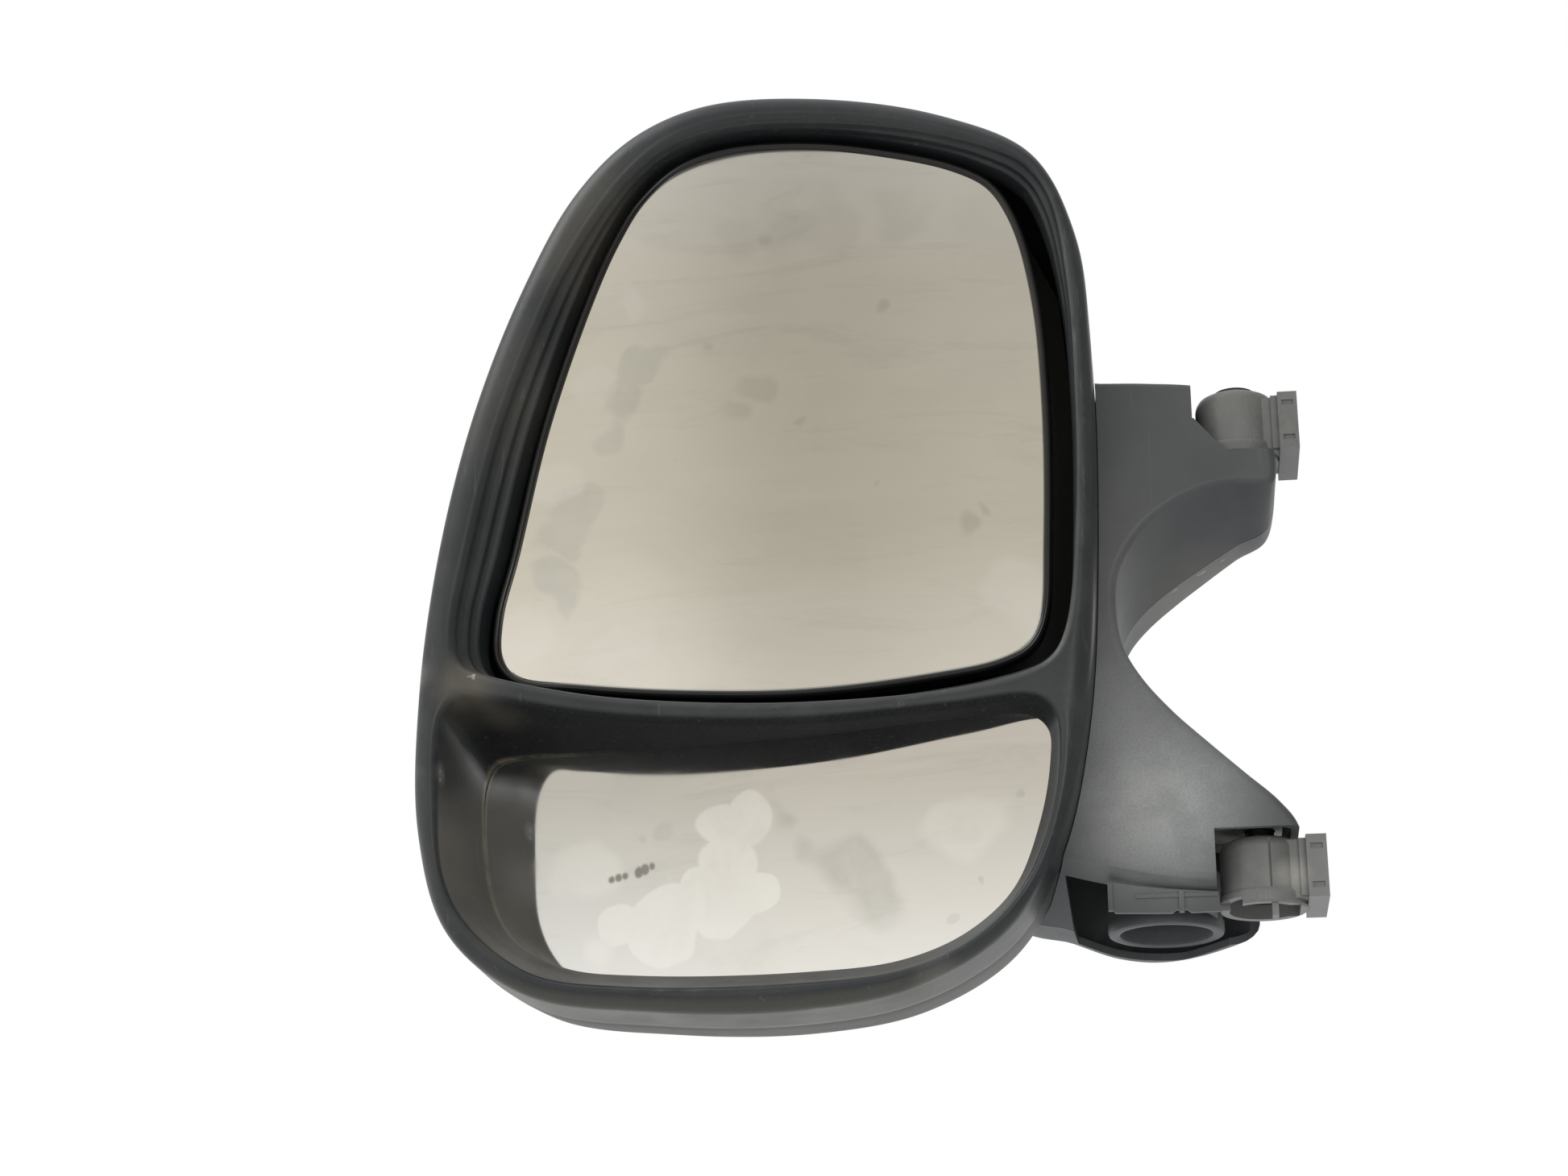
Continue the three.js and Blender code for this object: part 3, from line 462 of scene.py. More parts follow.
class Nodes:
    """Small helper that wires the nodes of one node tree."""

    def __init__(self, tree, place):
        self.tree = tree
        self.place = self.new("ShaderNodeTexCoord").outputs[place]

    def new(self, kind, **values):
        node = self.tree.nodes.new(kind)
        for key, value in values.items():
            setattr(node, key, value)
        return node

    def link(self, source, target):
        self.tree.links.new(source, target)

    def feed(self, socket, value):
        if isinstance(value, (int, float)):
            socket.default_value = value
        elif isinstance(value, tuple):
            socket.default_value = (*value, 1.0)
        else:
            self.link(value, socket)

    def ramp(self, source, low, high, out_low=0.0, out_high=1.0, smooth=True):
        node = self.new("ShaderNodeMapRange", interpolation_type="SMOOTHSTEP" if smooth else "LINEAR")
        node.inputs["From Min"].default_value = low
        node.inputs["From Max"].default_value = high
        node.inputs["To Min"].default_value = out_low
        node.inputs["To Max"].default_value = out_high
        self.link(source, node.inputs["Value"])
        return node.outputs["Result"]

    def mix(self, factor, a, b, blend="MIX"):
        node = self.new("ShaderNodeMix", data_type="RGBA", blend_type=blend)
        self.feed(node.inputs["Factor"], factor)
        self.feed(node.inputs[COLOR_A], a)
        self.feed(node.inputs[COLOR_B], b)
        return node.outputs[MIXED_COLOR]

    def axis(self, which, vector=None):
        """One component of a vector, or of the place on the part."""
        node = self.new("ShaderNodeSeparateXYZ")
        self.link(self.place if vector is None else vector, node.inputs["Vector"])
        return node.outputs[which]


class Surface(Nodes):
    """The nodes of one material, which follow the place on the part."""

    def __init__(self, name, metallic=0.0):
        self.material = bpy.data.materials.new(name)
        self.material.use_nodes = True
        super().__init__(self.material.node_tree, "Object")
        self.shader = self.tree.nodes["Principled BSDF"]
        self.shader.inputs["Metallic"].default_value = metallic

    def noise(self, scale, detail=4.0, rough=0.55, stretch=None, distort=0.0):
        node = self.new("ShaderNodeTexNoise")
        node.inputs["Scale"].default_value = scale
        node.inputs["Detail"].default_value = detail
        node.inputs["Roughness"].default_value = rough
        node.inputs["Distortion"].default_value = distort
        source = self.place
        if stretch:
            mapping = self.new("ShaderNodeMapping")
            mapping.inputs["Scale"].default_value = stretch
            self.link(source, mapping.inputs["Vector"])
            source = mapping.outputs["Vector"]
        self.link(source, node.inputs["Vector"])
        return node.outputs["Fac"]

    def cells(self, scale):
        node = self.new("ShaderNodeTexVoronoi")
        node.inputs["Scale"].default_value = scale
        self.link(self.place, node.inputs["Vector"])
        return node.outputs["Distance"]

    def math(self, operation, a, b):
        node = self.new("ShaderNodeMath", operation=operation)
        self.feed(node.inputs[0], a)
        self.feed(node.inputs[1], b)
        return node.outputs["Value"]

    def times(self, first, *others):
        for other in others:
            first = self.math("MULTIPLY", first, other)
        return first

    def add(self, a, b):
        return self.math("ADD", a, b)

    def tint(self, color, shade, mask, strength):
        """Lays a shade over a colour where a mask says, at most this strongly."""
        return self.mix(self.times(mask, strength), color, shade)

    def up(self):
        """How far the surface faces up (1) or down (-1)."""
        return self.axis("Z", self.new("ShaderNodeNewGeometry").outputs["Normal"])

    def warped(self, scale, rough):
        """A noisy vector between -0.5 and 0.5 that makes the edges of patches ragged."""
        node = self.new("ShaderNodeTexNoise")
        node.inputs["Scale"].default_value = scale
        node.inputs["Detail"].default_value = 2.5
        node.inputs["Roughness"].default_value = rough
        self.link(self.place, node.inputs["Vector"])
        shift = self.new("ShaderNodeVectorMath", operation="SUBTRACT")
        self.link(node.outputs["Color"], shift.inputs[0])
        shift.inputs[1].default_value = (0.5, 0.5, 0.5)
        flat = self.new("ShaderNodeVectorMath", operation="MULTIPLY")
        self.link(shift.outputs["Vector"], flat.inputs[0])
        flat.inputs[1].default_value = (1.0, 0.0, 1.0)
        return flat.outputs["Vector"]

    def near(self, centre, radius, soft, warp=None, ragged=0.0):
        """1 inside a round patch about a point (mm), fading to 0."""
        place = self.place
        if warp is not None:
            stretch = self.new("ShaderNodeVectorMath", operation="SCALE")
            self.link(warp, stretch.inputs[0])
            stretch.inputs["Scale"].default_value = ragged * 2 * MM
            join = self.new("ShaderNodeVectorMath", operation="ADD")
            self.link(place, join.inputs[0])
            self.link(stretch.outputs["Vector"], join.inputs[1])
            place = join.outputs["Vector"]
        node = self.new("ShaderNodeVectorMath", operation="DISTANCE")
        self.link(place, node.inputs[0])
        node.inputs[1].default_value = [c * MM for c in centre]
        return self.ramp(node.outputs["Value"], (radius - soft) * MM, (radius + 0.01) * MM, 1.0, 0.0)

    def bump(self, height, strength, distance_mm, normal=None):
        node = self.new("ShaderNodeBump")
        node.inputs["Strength"].default_value = strength
        node.inputs["Distance"].default_value = distance_mm * MM
        self.link(height, node.inputs["Height"])
        if normal is not None:
            self.link(normal, node.inputs["Normal"])
        return node.outputs["Normal"]

    def done(self, color, roughness, normal=None):
        self.feed(self.shader.inputs["Base Color"], color)
        self.feed(self.shader.inputs["Roughness"], roughness)
        if normal is not None:
            self.link(normal, self.shader.inputs["Normal"])
        return self.material


def paint_shade_bounce_and_dust(n, color):
    """Paints shade: darker towards the bezel's depths and almost black on the recess's downward-facing top
    wall; paints light bounced up from the ground as warm olive on the underside; dusts a corner.
    """
    # painted shade: darker the deeper a surface sits in the bezel
    deep = n.ramp(n.axis("Y"), -0.0425, -0.032)
    color = n.tint(color, SHADE_BLACK, deep, 0.35)
    # painted shade: the recess's downward-facing top wall made almost black
    roof = n.times(n.ramp(n.up(), -0.65, -0.15, 1.0, 0.0), n.ramp(n.axis("Z"), 0.036, 0.046),
                   n.ramp(n.axis("Z"), 0.06, 0.07, 1.0, 0.0))
    color = n.tint(color, SHADE_BLACK, roof, 0.95)
    # painted light: downward-facing faces low on the head tinted olive as if lit from the ground
    below = n.times(n.ramp(n.axis("Z"), -0.044, -0.028, 1.0, 0.0), n.ramp(n.up(), -0.75, -0.35, 1.0, 0.0))
    color = n.tint(color, BOUNCE_OLIVE, below, 0.9)
    gap = n.add(n.axis("Y"), n.times(n.axis("X"), LOWER_SLANT))
    corner = n.times(n.ramp(gap, -0.0524, -0.0494), n.ramp(n.axis("X"), -0.285, -0.245, 1.0, 0.0),
                     n.ramp(n.axis("Z"), 0.056, 0.062, 1.0, 0.0),
                     n.ramp(n.noise(160, 4, 0.6), 0.3, 0.6, 0.3, 1.0))
    return n.tint(color, SAND, corner, 0.6), roof


def paint_wear_and_light(n, color, wear_and_light):
    """Faded or dusty places, and patches of painted sheen, light and shade."""
    for place, radius, soft, shade, strength in wear_and_light:
        cloudy = n.ramp(n.noise(70, 5, 0.6), 0.3, 0.6, 0.78, 1.0)
        color = n.tint(color, shade, n.times(n.near(place, radius, soft), cloudy), strength)
    return color


def scuffed(n, color, scuffs):
    """Small ragged chalky scuffs."""
    warp = n.warped(190, 0.6)
    mask = 0.0
    for x, y, z, radius in scuffs:
        mask = n.math("MAXIMUM", n.near((x, y, z), radius, 0.5, warp, 6.0), mask)
    broken = n.ramp(n.noise(330, 3, 0.5), 0.44, 0.56)
    return n.tint(color, CHALK, n.times(mask, broken), 0.75)


def grained_plastic(name, dark, pale, rough, grain=1000, grain_depth=0.03, dust=0.1, dust_color=DUST,
                    scratch=0.0, wear_and_light=(), scuffs=(), shade_bounce_and_dust=False, gloss=0.5):
    """Moulded plastic: spark-eroded grain, patchy sheen, settled dust, pale specks painted as glints, hair
    scratches, faded and dusty places with painted sheen, light and shade among them, and, where asked,
    painted shade, painted bounce light and corner dust.
    """
    n = Surface(name)
    n.shader.inputs["Specular IOR Level"].default_value = gloss
    patches = n.noise(18, 5, 0.6)
    color = n.mix(n.ramp(patches, 0.3, 0.75), dark, pale)
    roof = 0.0
    if shade_bounce_and_dust:
        color, roof = paint_shade_bounce_and_dust(n, color)
    color = paint_wear_and_light(n, color, wear_and_light)
    if scuffs:
        color = scuffed(n, color, scuffs)
    film = n.ramp(n.noise(55, 6, 0.65), 0.46, 0.78)
    settle = n.times(film, n.ramp(n.up(), -0.6, 1.0, 0.45, 1.0))
    color = n.tint(color, dust_color, settle, dust)
    # pale specks painted as the glints of the grain
    specks = n.times(n.ramp(n.cells(700), 0.02, 0.07, 1.0, 0.0), n.ramp(n.noise(30, 3), 0.55, 0.68))
    color = n.tint(color, (0.45, 0.44, 0.4), specks, 0.4)
    if scratch:
        lines = n.noise(60, 2, 0.4, stretch=(9.0, 9.0, 0.5), distort=0.6)
        color = n.tint(color, (0.35, 0.35, 0.33), n.ramp(lines, 0.68, 0.73), scratch)
    fine = n.noise(grain, 3, 0.6)
    color = n.tint(color, pale, n.ramp(fine, 0.35, 0.7), 0.22)
    height = n.add(n.times(fine, 0.6), n.times(n.cells(grain * 0.55), 0.8))
    wavy = n.bump(n.noise(26, 2, 0.4), 0.2, 0.2, n.bump(height, 0.6, grain_depth))
    roughness = n.add(n.ramp(patches, 0.2, 0.8, rough - 0.05, rough + 0.06), n.times(settle, 0.14))
    roughness = n.add(roughness, n.times(roof, 0.5))
    return n.done(color, roughness, wavy)


def holder_plastic():
    n = Surface("holder_plastic")
    film = n.ramp(n.noise(40, 5, 0.6), 0.45, 0.8)
    color = n.tint((0.008, 0.0085, 0.009), (0.06, 0.055, 0.045), film, 0.12)
    normal = n.bump(n.noise(220, 3, 0.5), 0.12, 0.03)
    return n.done(color, n.ramp(n.noise(25, 3), 0.2, 0.8, 0.16, 0.3), normal)


def darker(color, share):
    return tuple(share * c for c in color)


def mirror_glass(name, surface, base, films, seed):
    """Silvered glass with dried water films, wipe marks, water spots and fine specks."""
    n = Surface(name, 1.0)
    blotch = n.ramp(n.noise(seed, 6, 0.6, distort=0.8), 0.5, 0.64)
    wipes = n.ramp(n.noise(14, 5, 0.6, stretch=(0.5, 1.0, 3.0), distort=0.6), 0.42, 0.75)
    spots = n.ramp(n.cells(95 + seed * 3), 0.03, 0.07, 1.0, 0.0)
    spots = n.times(spots, n.ramp(n.noise(20, 2), 0.56, 0.66))
    color = n.tint(base, darker(base, 0.74), blotch, 0.16)
    color = n.tint(color, (0.97, 0.96, 0.93), wipes, 0.18)
    haze = n.add(n.times(blotch, 0.04), n.times(wipes, 0.05))
    streaks = n.ramp(n.noise(24 + seed, 7, 0.7, stretch=(0.35, 1.0, 1.8), distort=1.2), 0.5, 0.72)
    color = n.tint(color, darker(base, 0.66), streaks, 0.2)
    warp = n.warped(20 + seed, 0.42)
    cloudy = n.ramp(n.noise(34 + seed, 5, 0.62, stretch=(1.0, 1.0, 0.6), distort=0.7), 0.32, 0.62, 0.6, 1.0)
    for patches, ragged, shade, strength, rough, soft in films:
        film = 0.0
        for x, z, radius in patches:
            film = n.math("MAXIMUM", n.near((x, surface(x, z), z), radius, soft, warp, ragged), film)
        film = n.times(film, cloudy)
        color = n.tint(color, shade, film, strength)
        haze = n.add(haze, n.times(film, rough))
    color = n.tint(color, (0.5, 0.48, 0.43), spots, 0.3)
    roughness = n.add(n.add(haze, n.times(spots, 0.2)), 0.05)
    return n.done(color, roughness, n.bump(n.noise(7, 2, 0.4), 0.05, 0.2))


def plated_steel():
    n = Surface("bright_steel", 1.0)
    tone = n.ramp(n.noise(120, 5, 0.6), 0.3, 0.8)
    color = n.mix(tone, (0.42, 0.42, 0.42), (0.58, 0.57, 0.54))
    return n.done(color, n.ramp(tone, 0, 1, 0.24, 0.42), n.bump(n.noise(600, 3, 0.5), 0.2, 0.03))


def dark_steel():
    """Phosphated steel of the fold pins: almost black, with rubbed grey patches."""
    n = Surface("dark_steel", 1.0)
    rubbed = n.ramp(n.noise(150, 5, 0.6), 0.5, 0.75)
    color = n.mix(rubbed, (0.06, 0.06, 0.062), (0.2, 0.198, 0.19))
    return n.done(color, n.ramp(rubbed, 0, 1, 0.5, 0.36), n.bump(n.noise(500, 3, 0.5), 0.2, 0.03))


def cast_alloy():
    n = Surface("cast_alloy", 1.0)
    tone = n.ramp(n.noise(60, 6, 0.65), 0.25, 0.8)
    color = n.mix(tone, (0.34, 0.34, 0.34), (0.5, 0.5, 0.49))
    height = n.add(n.noise(420, 4, 0.6), n.times(n.cells(300), 0.5))
    return n.done(color, n.ramp(tone, 0, 1, 0.5, 0.68), n.bump(height, 0.5, 0.12))


def heater_film():
    n = Surface("heater_film")
    wave = n.new("ShaderNodeTexWave", wave_type="BANDS", bands_direction="Z")
    wave.inputs["Scale"].default_value = 30
    wave.inputs["Distortion"].default_value = 3.0
    n.link(n.place, wave.inputs["Vector"])
    track = n.ramp(wave.outputs["Fac"], 0.45, 0.55)
    color = n.mix(track, (0.3, 0.16, 0.06), (0.5, 0.32, 0.16))
    return n.done(color, n.ramp(track, 0, 1, 0.5, 0.3), n.bump(track, 0.3, 0.05))


mat = {
    "bezel": grained_plastic("bezel_plastic", (0.029, 0.033, 0.037), (0.05, 0.056, 0.061), 0.37,
                             grain_depth=0.035, dust=0.12, scratch=0.1, wear_and_light=BEZEL_WEAR_AND_LIGHT,
                             scuffs=BEZEL_SCUFFS, shade_bounce_and_dust=True, gloss=0.45),
    "shell": grained_plastic("shell_plastic", (0.055, 0.056, 0.052), (0.08, 0.081, 0.074), 0.48, dust=0.2),
    "arm": grained_plastic("arm_plastic", (0.076, 0.083, 0.089), (0.108, 0.118, 0.126), 0.47, 1100, 0.04,
                           scratch=0.06, wear_and_light=ARM_SHEEN_AND_SHADE, scuffs=ARM_SCUFFS),
    "foot": grained_plastic("foot_plastic", (0.15, 0.155, 0.155), (0.25, 0.256, 0.255), 0.4, 700, 0.05,
                            0.5, (0.38, 0.355, 0.29), scratch=0.25, wear_and_light=FOOT_WEAR),
    "inner": grained_plastic("inner_plastic", (0.03, 0.03, 0.031), (0.045, 0.045, 0.046), 0.55, 900),
    "holder": holder_plastic(),
    "mirror": mirror_glass("main_mirror", main_surface, (0.9, 0.89, 0.85), MAIN_FILMS, 9.0),
    "mirror_low": mirror_glass("lower_mirror", lower_surface, (0.83, 0.83, 0.82), LOWER_FILMS, 12.0),
    "steel": plated_steel(),
    "pin": dark_steel(),
    "alloy": cast_alloy(),
    "film": heater_film(),
}


def stand_for(piece, body, node):
    """The piece rides on a body and hides its CAD node."""
    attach(piece, body)
    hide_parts(node)


# ---- bezel
def roll(distance, radius):
    """How far a rounded edge falls back at a distance from it."""
    inner = np.clip(radius - distance, 0, radius)
    return radius - np.sqrt(np.maximum(radius ** 2 - inner ** 2, 0))


def face_height(points):
    height = np.full(len(points), BEZEL_FRONT)
    height += roll(distance_to(points, head), ROLL)
    height += roll(distance_to(points, window), WINDOW_ROLL)
    height += roll(distance_to(points, lower_window), WINDOW_ROLL)
    return height


FACE_ROWS = (0.12, 0.4, 0.8, 1.35, 2.05, 2.9, 3.9, 5.1, 6.5, 8.2, 10.5, 13.5, 17.5)


def face_points():
    """Sample points of the bezel's face: rows that follow each edge, closer together near it."""
    edges = {"head": (head, -1), "window": (window, 1), "lower": (lower_window, 1)}
    kept = []
    for name, (curve, side) in edges.items():
        rest = [c for key, (c, _) in edges.items() if key != name]
        normal = normals_of(curve)
        for d in FACE_ROWS:
            row = curve + side * d * normal
            own = distance_to(row, curve) > d * 0.97
            clear = np.min([distance_to(row, c) for c in rest], axis=0) > d * 1.02
            kept.append(row[own & clear])
    return np.concatenate(kept)


def add_face(build):
    """The bezel's face: a height field between the head's outline and the two windows."""
    borders = [head, window, lower_window]
    flat = np.concatenate(borders + [face_points()])
    edges = []
    count = 0
    for border in borders:
        n = len(border)
        edges += [(count + i, count + (i + 1) % n) for i in range(n)]
        count += n
    verts, _, faces, _, _, _ = delaunay_2d_cdt([Vector(p) for p in flat.tolist()], edges, [], 0, 1e-5)
    verts = np.array([(v[0], v[1]) for v in verts])
    middles = np.array([verts[list(face)].mean(0) for face in faces])
    wanted = inside(middles, head) & ~inside(middles, window) & ~inside(middles, lower_window)
    ids = build.add(np.stack([verts[:, 0], face_height(verts), verts[:, 1]], 1))
    build.faces += [tuple(ids[k] for k in face) for face, keep in zip(faces, wanted) if keep]


def outer_side():
    """The bezel's outer side back to the joint, then its inner side."""
    rings = [ring(head, SIDE_START)]
    rings += [ring(head, y) for y in np.linspace(SIDE_START + 1.5, SPLIT - 0.8, 9)]
    turn = ((0.35, SPLIT - 0.3), (1.0, SPLIT - 0.1), (WALL, SPLIT - 0.1), (WALL, BEZEL_FRONT + 10))
    for inset, y in turn:
        rings.append(ring(offset(head, -inset), y))
    return rings


def blend_curves(a, b, share):
    return a + (b - a) * share


# share of the way from the window to the hole round the glass, and depth behind the window's edge
FUNNEL_STEPS = (
    (0.0, 0), (0.012, 1.1), (0.06, 2.6), (0.2, 3.6), (0.34, 4.1), (0.385, 4.5), (0.40, 5.2), (0.42, 6.6),
    (0.47, 7.3), (0.66, 7.9), (0.76, 8.4), (0.79, 9.2), (0.82, 11), (1.0, 13.4), (1.0, 17),
)


def main_funnel():
    """A hollow step first, then a wall down to the glass, with a lip turned back behind it."""
    rings = [ring(blend_curves(window, hole, share), FACE_BACK + depth) for share, depth in FUNNEL_STEPS]
    rings.append(ring(offset(hole, 1.8), FACE_BACK + 17.2))
    rings.append(ring(offset(hole, 2.2), FACE_BACK + 10))
    return rings


def lower_funnel():
    """The recess's walls down to the slanted lower glass."""
    rings = []
    for share in (0.0, 0.04, 0.12, 0.25, 0.4, 0.55, 0.7, 0.82, 0.9, 0.955, 0.985, 1.0):
        curve = blend_curves(lower_window, lower_sight, share ** 1.25)
        deep = lower_plane(curve[:, 0], curve[:, 1]) - 0.5
        rings.append(np.stack([curve[:, 0], FACE_BACK + (deep - FACE_BACK) * share, curve[:, 1]], 1))
    for grow in (0.6, 2.4):
        rings.append(ring(offset(lower_sight, grow), lambda x, z: lower_plane(x, z) + 0.1))
    return rings


def make_bezel():
    build = Build()
    add_face(build)
    for rings in (outer_side(), main_funnel(), lower_funnel()):
        build.rings(rings)
    return build.object("bezel_shell", mat["bezel"], 60)


bezel = make_bezel()
stand_for(bezel, "head", "bezel")


# ---- rear shell
def shell_share(count):
    """Evenly spaced (y, share) pairs along the rear shell's section."""
    keys = np.array(SHELL_RINGS, float)
    keys[:, 1] *= SHARE_LENGTH
    step = np.r_[0, np.cumsum(np.linalg.norm(np.diff(keys, axis=0), axis=1))]
    pad = np.vstack([2 * keys[0] - keys[1], keys, 2 * keys[-1] - keys[-2]])
    out = []
    for s in np.linspace(0, step[-1], count):
        i = min(np.searchsorted(step, s, "right") - 1, len(keys) - 2)
        t = (s - step[i]) / (step[i + 1] - step[i])
        a, b, c, d = pad[i], pad[i + 1], pad[i + 2], pad[i + 3]
        out.append(0.5 * ((2 * b) + (c - a) * t + (2 * a - 5 * b + 4 * c - d) * t ** 2
                          + (3 * b - a - 3 * c + d) * t ** 3))
    out = np.array(out)
    out[:, 0] = np.minimum(out[:, 0], SHELL_BACK)
    out[:, 1] = np.clip(out[:, 1] / SHARE_LENGTH, 0, 0.95)
    return out


def make_shell():
    build = Build()
    lip = ((WALL, 8), (WALL, 0.6), (1.1, 0.5), (0.3, 0.8))
    rings = [ring(offset(head, -inset), SPLIT + y) for inset, y in lip]
    rings += [ring(shrink(head, HEAD_CENTRE, share), y) for y, share in shell_share(44)[1:]]
    build.cap(build.rings(rings))
    return build.object("rear_shell_skin", mat["shell"], 60)


shell = make_shell()
stand_for(shell, "head", "rear_shell")


# ---- glasses
def behind(surface, depth):
    return lambda x, z: surface(x, z) + depth


def make_glass(name, edge, surface, material, centre):
    """A glass with a ground edge: its back's rim, its edge, its front's rim, then the curved front."""
    build = Build()
    sides = ((1.2, 2.2), (0, 2.0), (0, 0.5), (0.25, 0.15), (0.7, 0))
    rings = [ring(offset(edge, -inset), behind(surface, depth)) for inset, depth in sides]
    for share in np.linspace(0.04, 0.97, 22):
        rings.append(ring(shrink(offset(edge, -0.7), centre, share), surface))
    build.cap(build.rings(rings))
    return build.object(name, material, 8)


main_glass = make_glass("main_glass_face", offset(glass_rim, -GLASS_INSET), main_surface, mat["mirror"],
                        GLASS_CENTRE)
stand_for(main_glass, "glass", "main_glass")

lower_glass = make_glass("lower_glass_face", offset(lower_sight, LOWER_LAP), lower_surface,
                         mat["mirror_low"], LOWER_CENTRE)
stand_for(lower_glass, "head", "lower_glass")


# the holder's section round the main glass: offset from its outline, depth behind the glass's surface
HOLDER_SECTION = (
    (-3.4, 2.0), (-2.9, 0.2), (-2.5, -0.7), (-1.8, -1.25), (-1.1, -1.2), (-0.45, -0.75), (-0.08, 0.1),
    (0.0, 1.2), (0.0, 4.5), (-0.6, 5.6), (-3.0, 7.6), (-14, 9.4),
)
HOLDER_BACK = -24.9


def make_holder():
    build = Build()
    rings = [ring(offset(glass_rim, grow), behind(main_surface, depth)) for grow, depth in HOLDER_SECTION]
    rings.append(ring(shrink(glass_rim, GLASS_CENTRE, 0.6), HOLDER_BACK))
    build.cap(build.rings(rings))
    return build.object("glass_holder_rim", mat["holder"], 50)


holder = make_holder()
stand_for(holder, "glass", "glass_holder")


# ---- arm
def taper(x):
    """The arm's depth as a share of its full depth, which shrinks smoothly towards the door."""
    t = np.clip((x + 64) / 70, 0, 1)
    return 1 - ARM_SHARE * t * t * (3 - 2 * t)


def arm_split(x):
    return ARM_FRONT + ARM_SPLIT * taper(x)


def arm_back(x):
    return ARM_FRONT + ARM_DEPTH * taper(x)


arm_curve = catmull(ARM, 8)


def arm_ring(share, inset, depth):
    """The arm's outline, a share of the way from its front to the covers' joint, pulled in by an inset."""
    z = arm_curve[:, 1] + (arm_curve[:, 2] - arm_curve[:, 1]) * share
    curve = np.stack([arm_curve[:, 0], z], 1)
    if inset:
        curve = clean_offset(curve, -inset)
    return ring(curve, depth)


def front_rings(inset):
    start = ARM_FRONT + inset
    rings = []
    for angle in np.radians((0, 18, 36, 54, 72, 90)):
        depth = start + ARM_EDGE * (1 - math.cos(angle))
        rings.append(arm_ring(0.02, inset + ARM_EDGE * (1 - math.sin(angle)), depth))
    start += ARM_EDGE
    for share in (0.25, 0.5, 0.75, 1.0):
        rings.append(arm_ring(0.06 + 0.94 * share ** 0.85, inset,
                              lambda x, z, share=share: start + (arm_split(x) - start) * share))
    return rings


def rear_rings(inset, corner=4.5):
    def side(share):
        return lambda x, z: (arm_split(x) + JOINT_GAP + share * (
            arm_back(x) - ARM_BACK_EDGE - inset - arm_split(x) - JOINT_GAP))

    def rounded(angle):
        return lambda x, z: arm_back(x) - ARM_BACK_EDGE - inset + ARM_BACK_EDGE * math.sin(angle)

    rings = [arm_ring(1, inset, side(share)) for share in (0, 0.33, 0.66, 1.0)]
    for angle in np.radians((22, 45, 67, 90)):
        rings.append(arm_ring(1, inset + corner * (1 - math.cos(angle)), rounded(angle)))
    return rings


def head_cutter():
    """The head's own outside, a little larger, which trims the arm to the head."""
    rings = [ring(offset(head, 0.3), BEZEL_FRONT - 4)]
    for y, share in shell_share(26):
        rings.append(ring(offset(shrink(head, HEAD_CENTRE, share), 0.3), y))
    return loft("cutter", rings)


def foot_room(z0, z1):
    """Room for a foot to turn in: a round cut flat on the side away from the door."""
    end = math.acos((ROOM_FLAT - FOLD[0]) / ROOM_RADIUS)
    plan = [(FOLD[0] + ROOM_RADIUS * math.cos(a * end), FOLD[1] + ROOM_RADIUS * math.sin(a * end))
            for a in np.linspace(-1, 1, 60)]
    return prism(plan, z0, z1)


UNDER = [(-90, -9), (-42, -9), (-42, 8), (-34, 30), (-50, 42), (-88, 42)]     # plan of the open underside


def arm_cutters():
    """The head, both feet's rooms, the sleeve's hole, the fold pins' holes and the open underside."""
    return [head_cutter(), foot_room(154, 205), foot_room(-40, 13.5), drum(22.9, -30, 8, SLEEVE),
            drum(6.6, 11, 17, FOLD), drum(6.6, 150, 157, FOLD), prism(UNDER, -30, 8)]


# the slope that the front cover's upper notch keeps at its left end, as x, z
ARM_LIP = [(-42, 150), (-42, 167.5), (-37.5, 167.2), (-34, 163), (-30.5, 158.6), (-27, 155.4), (-25.5, 150)]

arm_front = loft("arm_front_shell", front_rings(0), mat["arm"])
hollow = loft("cutter", front_rings(WALL) + [arm_ring(1, WALL, lambda x, z: arm_split(x) + 3)])
boolean(arm_front, [hollow] + arm_cutters())
boolean(arm_front, [plate(ARM_LIP, ARM_FRONT + 0.05, ARM_FRONT + 2.5)], "UNION")
round_edges(arm_front, 0.8, 3)
stand_for(arm_front, "head", "arm_front_cover")

arm_rear = loft("arm_rear_shell", rear_rings(0), mat["arm"])
hollow = loft("cutter", [arm_ring(1, WALL, lambda x, z: arm_split(x) - 3)] + rear_rings(WALL, 1.2))
boolean(arm_rear, [hollow] + arm_cutters())
round_edges(arm_rear, 0.8, 3)
stand_for(arm_rear, "head", "arm_rear_cover")

# the round sleeve in the arm's underside, with a rounded lip and a shoulder above it
SLEEVE_PROFILE = (
    (16, 5.6), (16, -14.2), (16.4, -15.1), (17.3, -15.5), (19.2, -15.5), (20.1, -15.1), (20.5, -14.2),
    (20.5, -11), (20.1, -10.4), (20.1, 5.2), (19.7, 6), (16.4, 6), (16, 5.6),
)
sleeve = revolve("sleeve_ring", SLEEVE_PROFILE, SLEEVE, mat["arm"])
stand_for(sleeve, "head", "arm_sleeve")


SKIRT_OUTLINE = (
    (-75.5, -2.6), (-66, -4.6), (-58, -5.7), (-48, -6.6), (-37.5, -7.5), (-37, -14.3), (-47, -14.5),
    (-48.4, -13.4), (-52.2, -13.4), (-53.6, -14.5), (-73, -13.9), (-74.8, -11.5),
)


def name_and_paint(obj, name, material):
    obj.name = name
    obj.data.materials.clear()
    obj.data.materials.append(material)


